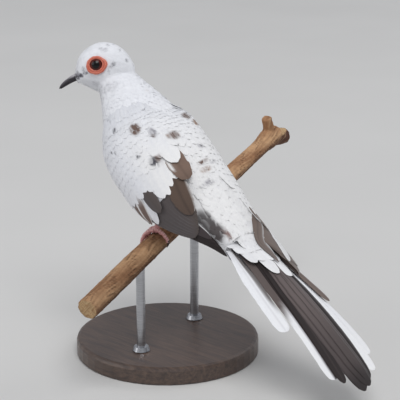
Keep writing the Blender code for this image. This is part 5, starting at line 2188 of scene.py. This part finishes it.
@dataclass
class FloorFinish(Finish):
    """Pale matt floor."""

    name: str = "floor"
    roughness: float = 0.9
    colour: Colour = tint(206, 205, 203)

    def shade(self) -> None:
        """Adds faint clouds."""
        self.mixed(self.colour, tuple(value * 1.04 for value in self.colour), self.noise(6.0, 2.0))


@dataclass
class Studio:
    """Floor, lights and camera; a light has its name, place, size and power."""

    floor_size: float = 12.0
    aim: Place = (0.01, 0.0, 0.08)
    lights: tuple[tuple[str, Place, float, float], ...] = (
        ("key", (1.4, -1.1, 3.2), 2.2, 70.0),
        ("fill", (-1.8, -3.2, 1.8), 3.0, 33.0),
        ("rim", (0.9, 3.4, 2.6), 2.2, 30.0),
    )

    def build(self) -> None:
        """Sets the studio up."""
        deselect()
        bpy.ops.mesh.primitive_plane_add(size=self.floor_size, location=(0.0, 0.0, 0.0))
        floor = bpy.context.active_object
        floor.name = "floor"
        floor.data.materials.append(FloorFinish().build())
        for name, at, size, power in self.lights:
            bpy.ops.object.light_add(type="AREA", location=at)
            lamp = bpy.context.active_object
            lamp.name = lamp.data.name = name
            lamp.data.size = size
            lamp.data.energy = power
            lamp.rotation_euler = (Vector(self.aim) - Vector(at)).to_track_quat("-Z", "Y").to_euler()
        world = bpy.data.worlds.new("studio")
        world.use_nodes = True
        Finish.set(world.node_tree.nodes["Background"], {"Color": (0.86, 0.89, 0.95, 1.0), "Strength": 0.42})
        bpy.context.scene.world = world
        bpy.context.scene.view_settings.view_transform = "Standard"
        CAMERA.build()


def main() -> None:
    """Builds the whole model around the frame."""
    logging.basicConfig(level=logging.INFO, format="%(message)s")
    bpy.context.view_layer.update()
    Studio().build()
    plumage = PlumageFinish().build()
    skin = Skin()
    skin.build()
    wings = (Wing(Side.LEFT), Wing(Side.RIGHT, ahead=5.0, stretch=1.2, spread=0.42, swell=1.4))
    for wing in wings:
        wing.flesh(plumage)
    trees = [skin.tree, *(wing.tree for wing in wings)]
    markings = Markings(*trees)
    skin.dress(markings, plumage)
    Coat(skin, markings, plumage).dress()
    for wing in wings:
        wing.dress(plumage, markings)
    tail_trees = Tail().build(plumage)
    Mantle([*trees, wings[1].long_tree, *tail_trees]).build(plumage, markings)
    Bill().build()
    for side in Side:
        Eye(side).build()
    perch = Perch()
    perch.build()
    for side in Side:
        Foot(side, perch).build()
    Stand.dress()


if __name__ == "__main__":
    main()
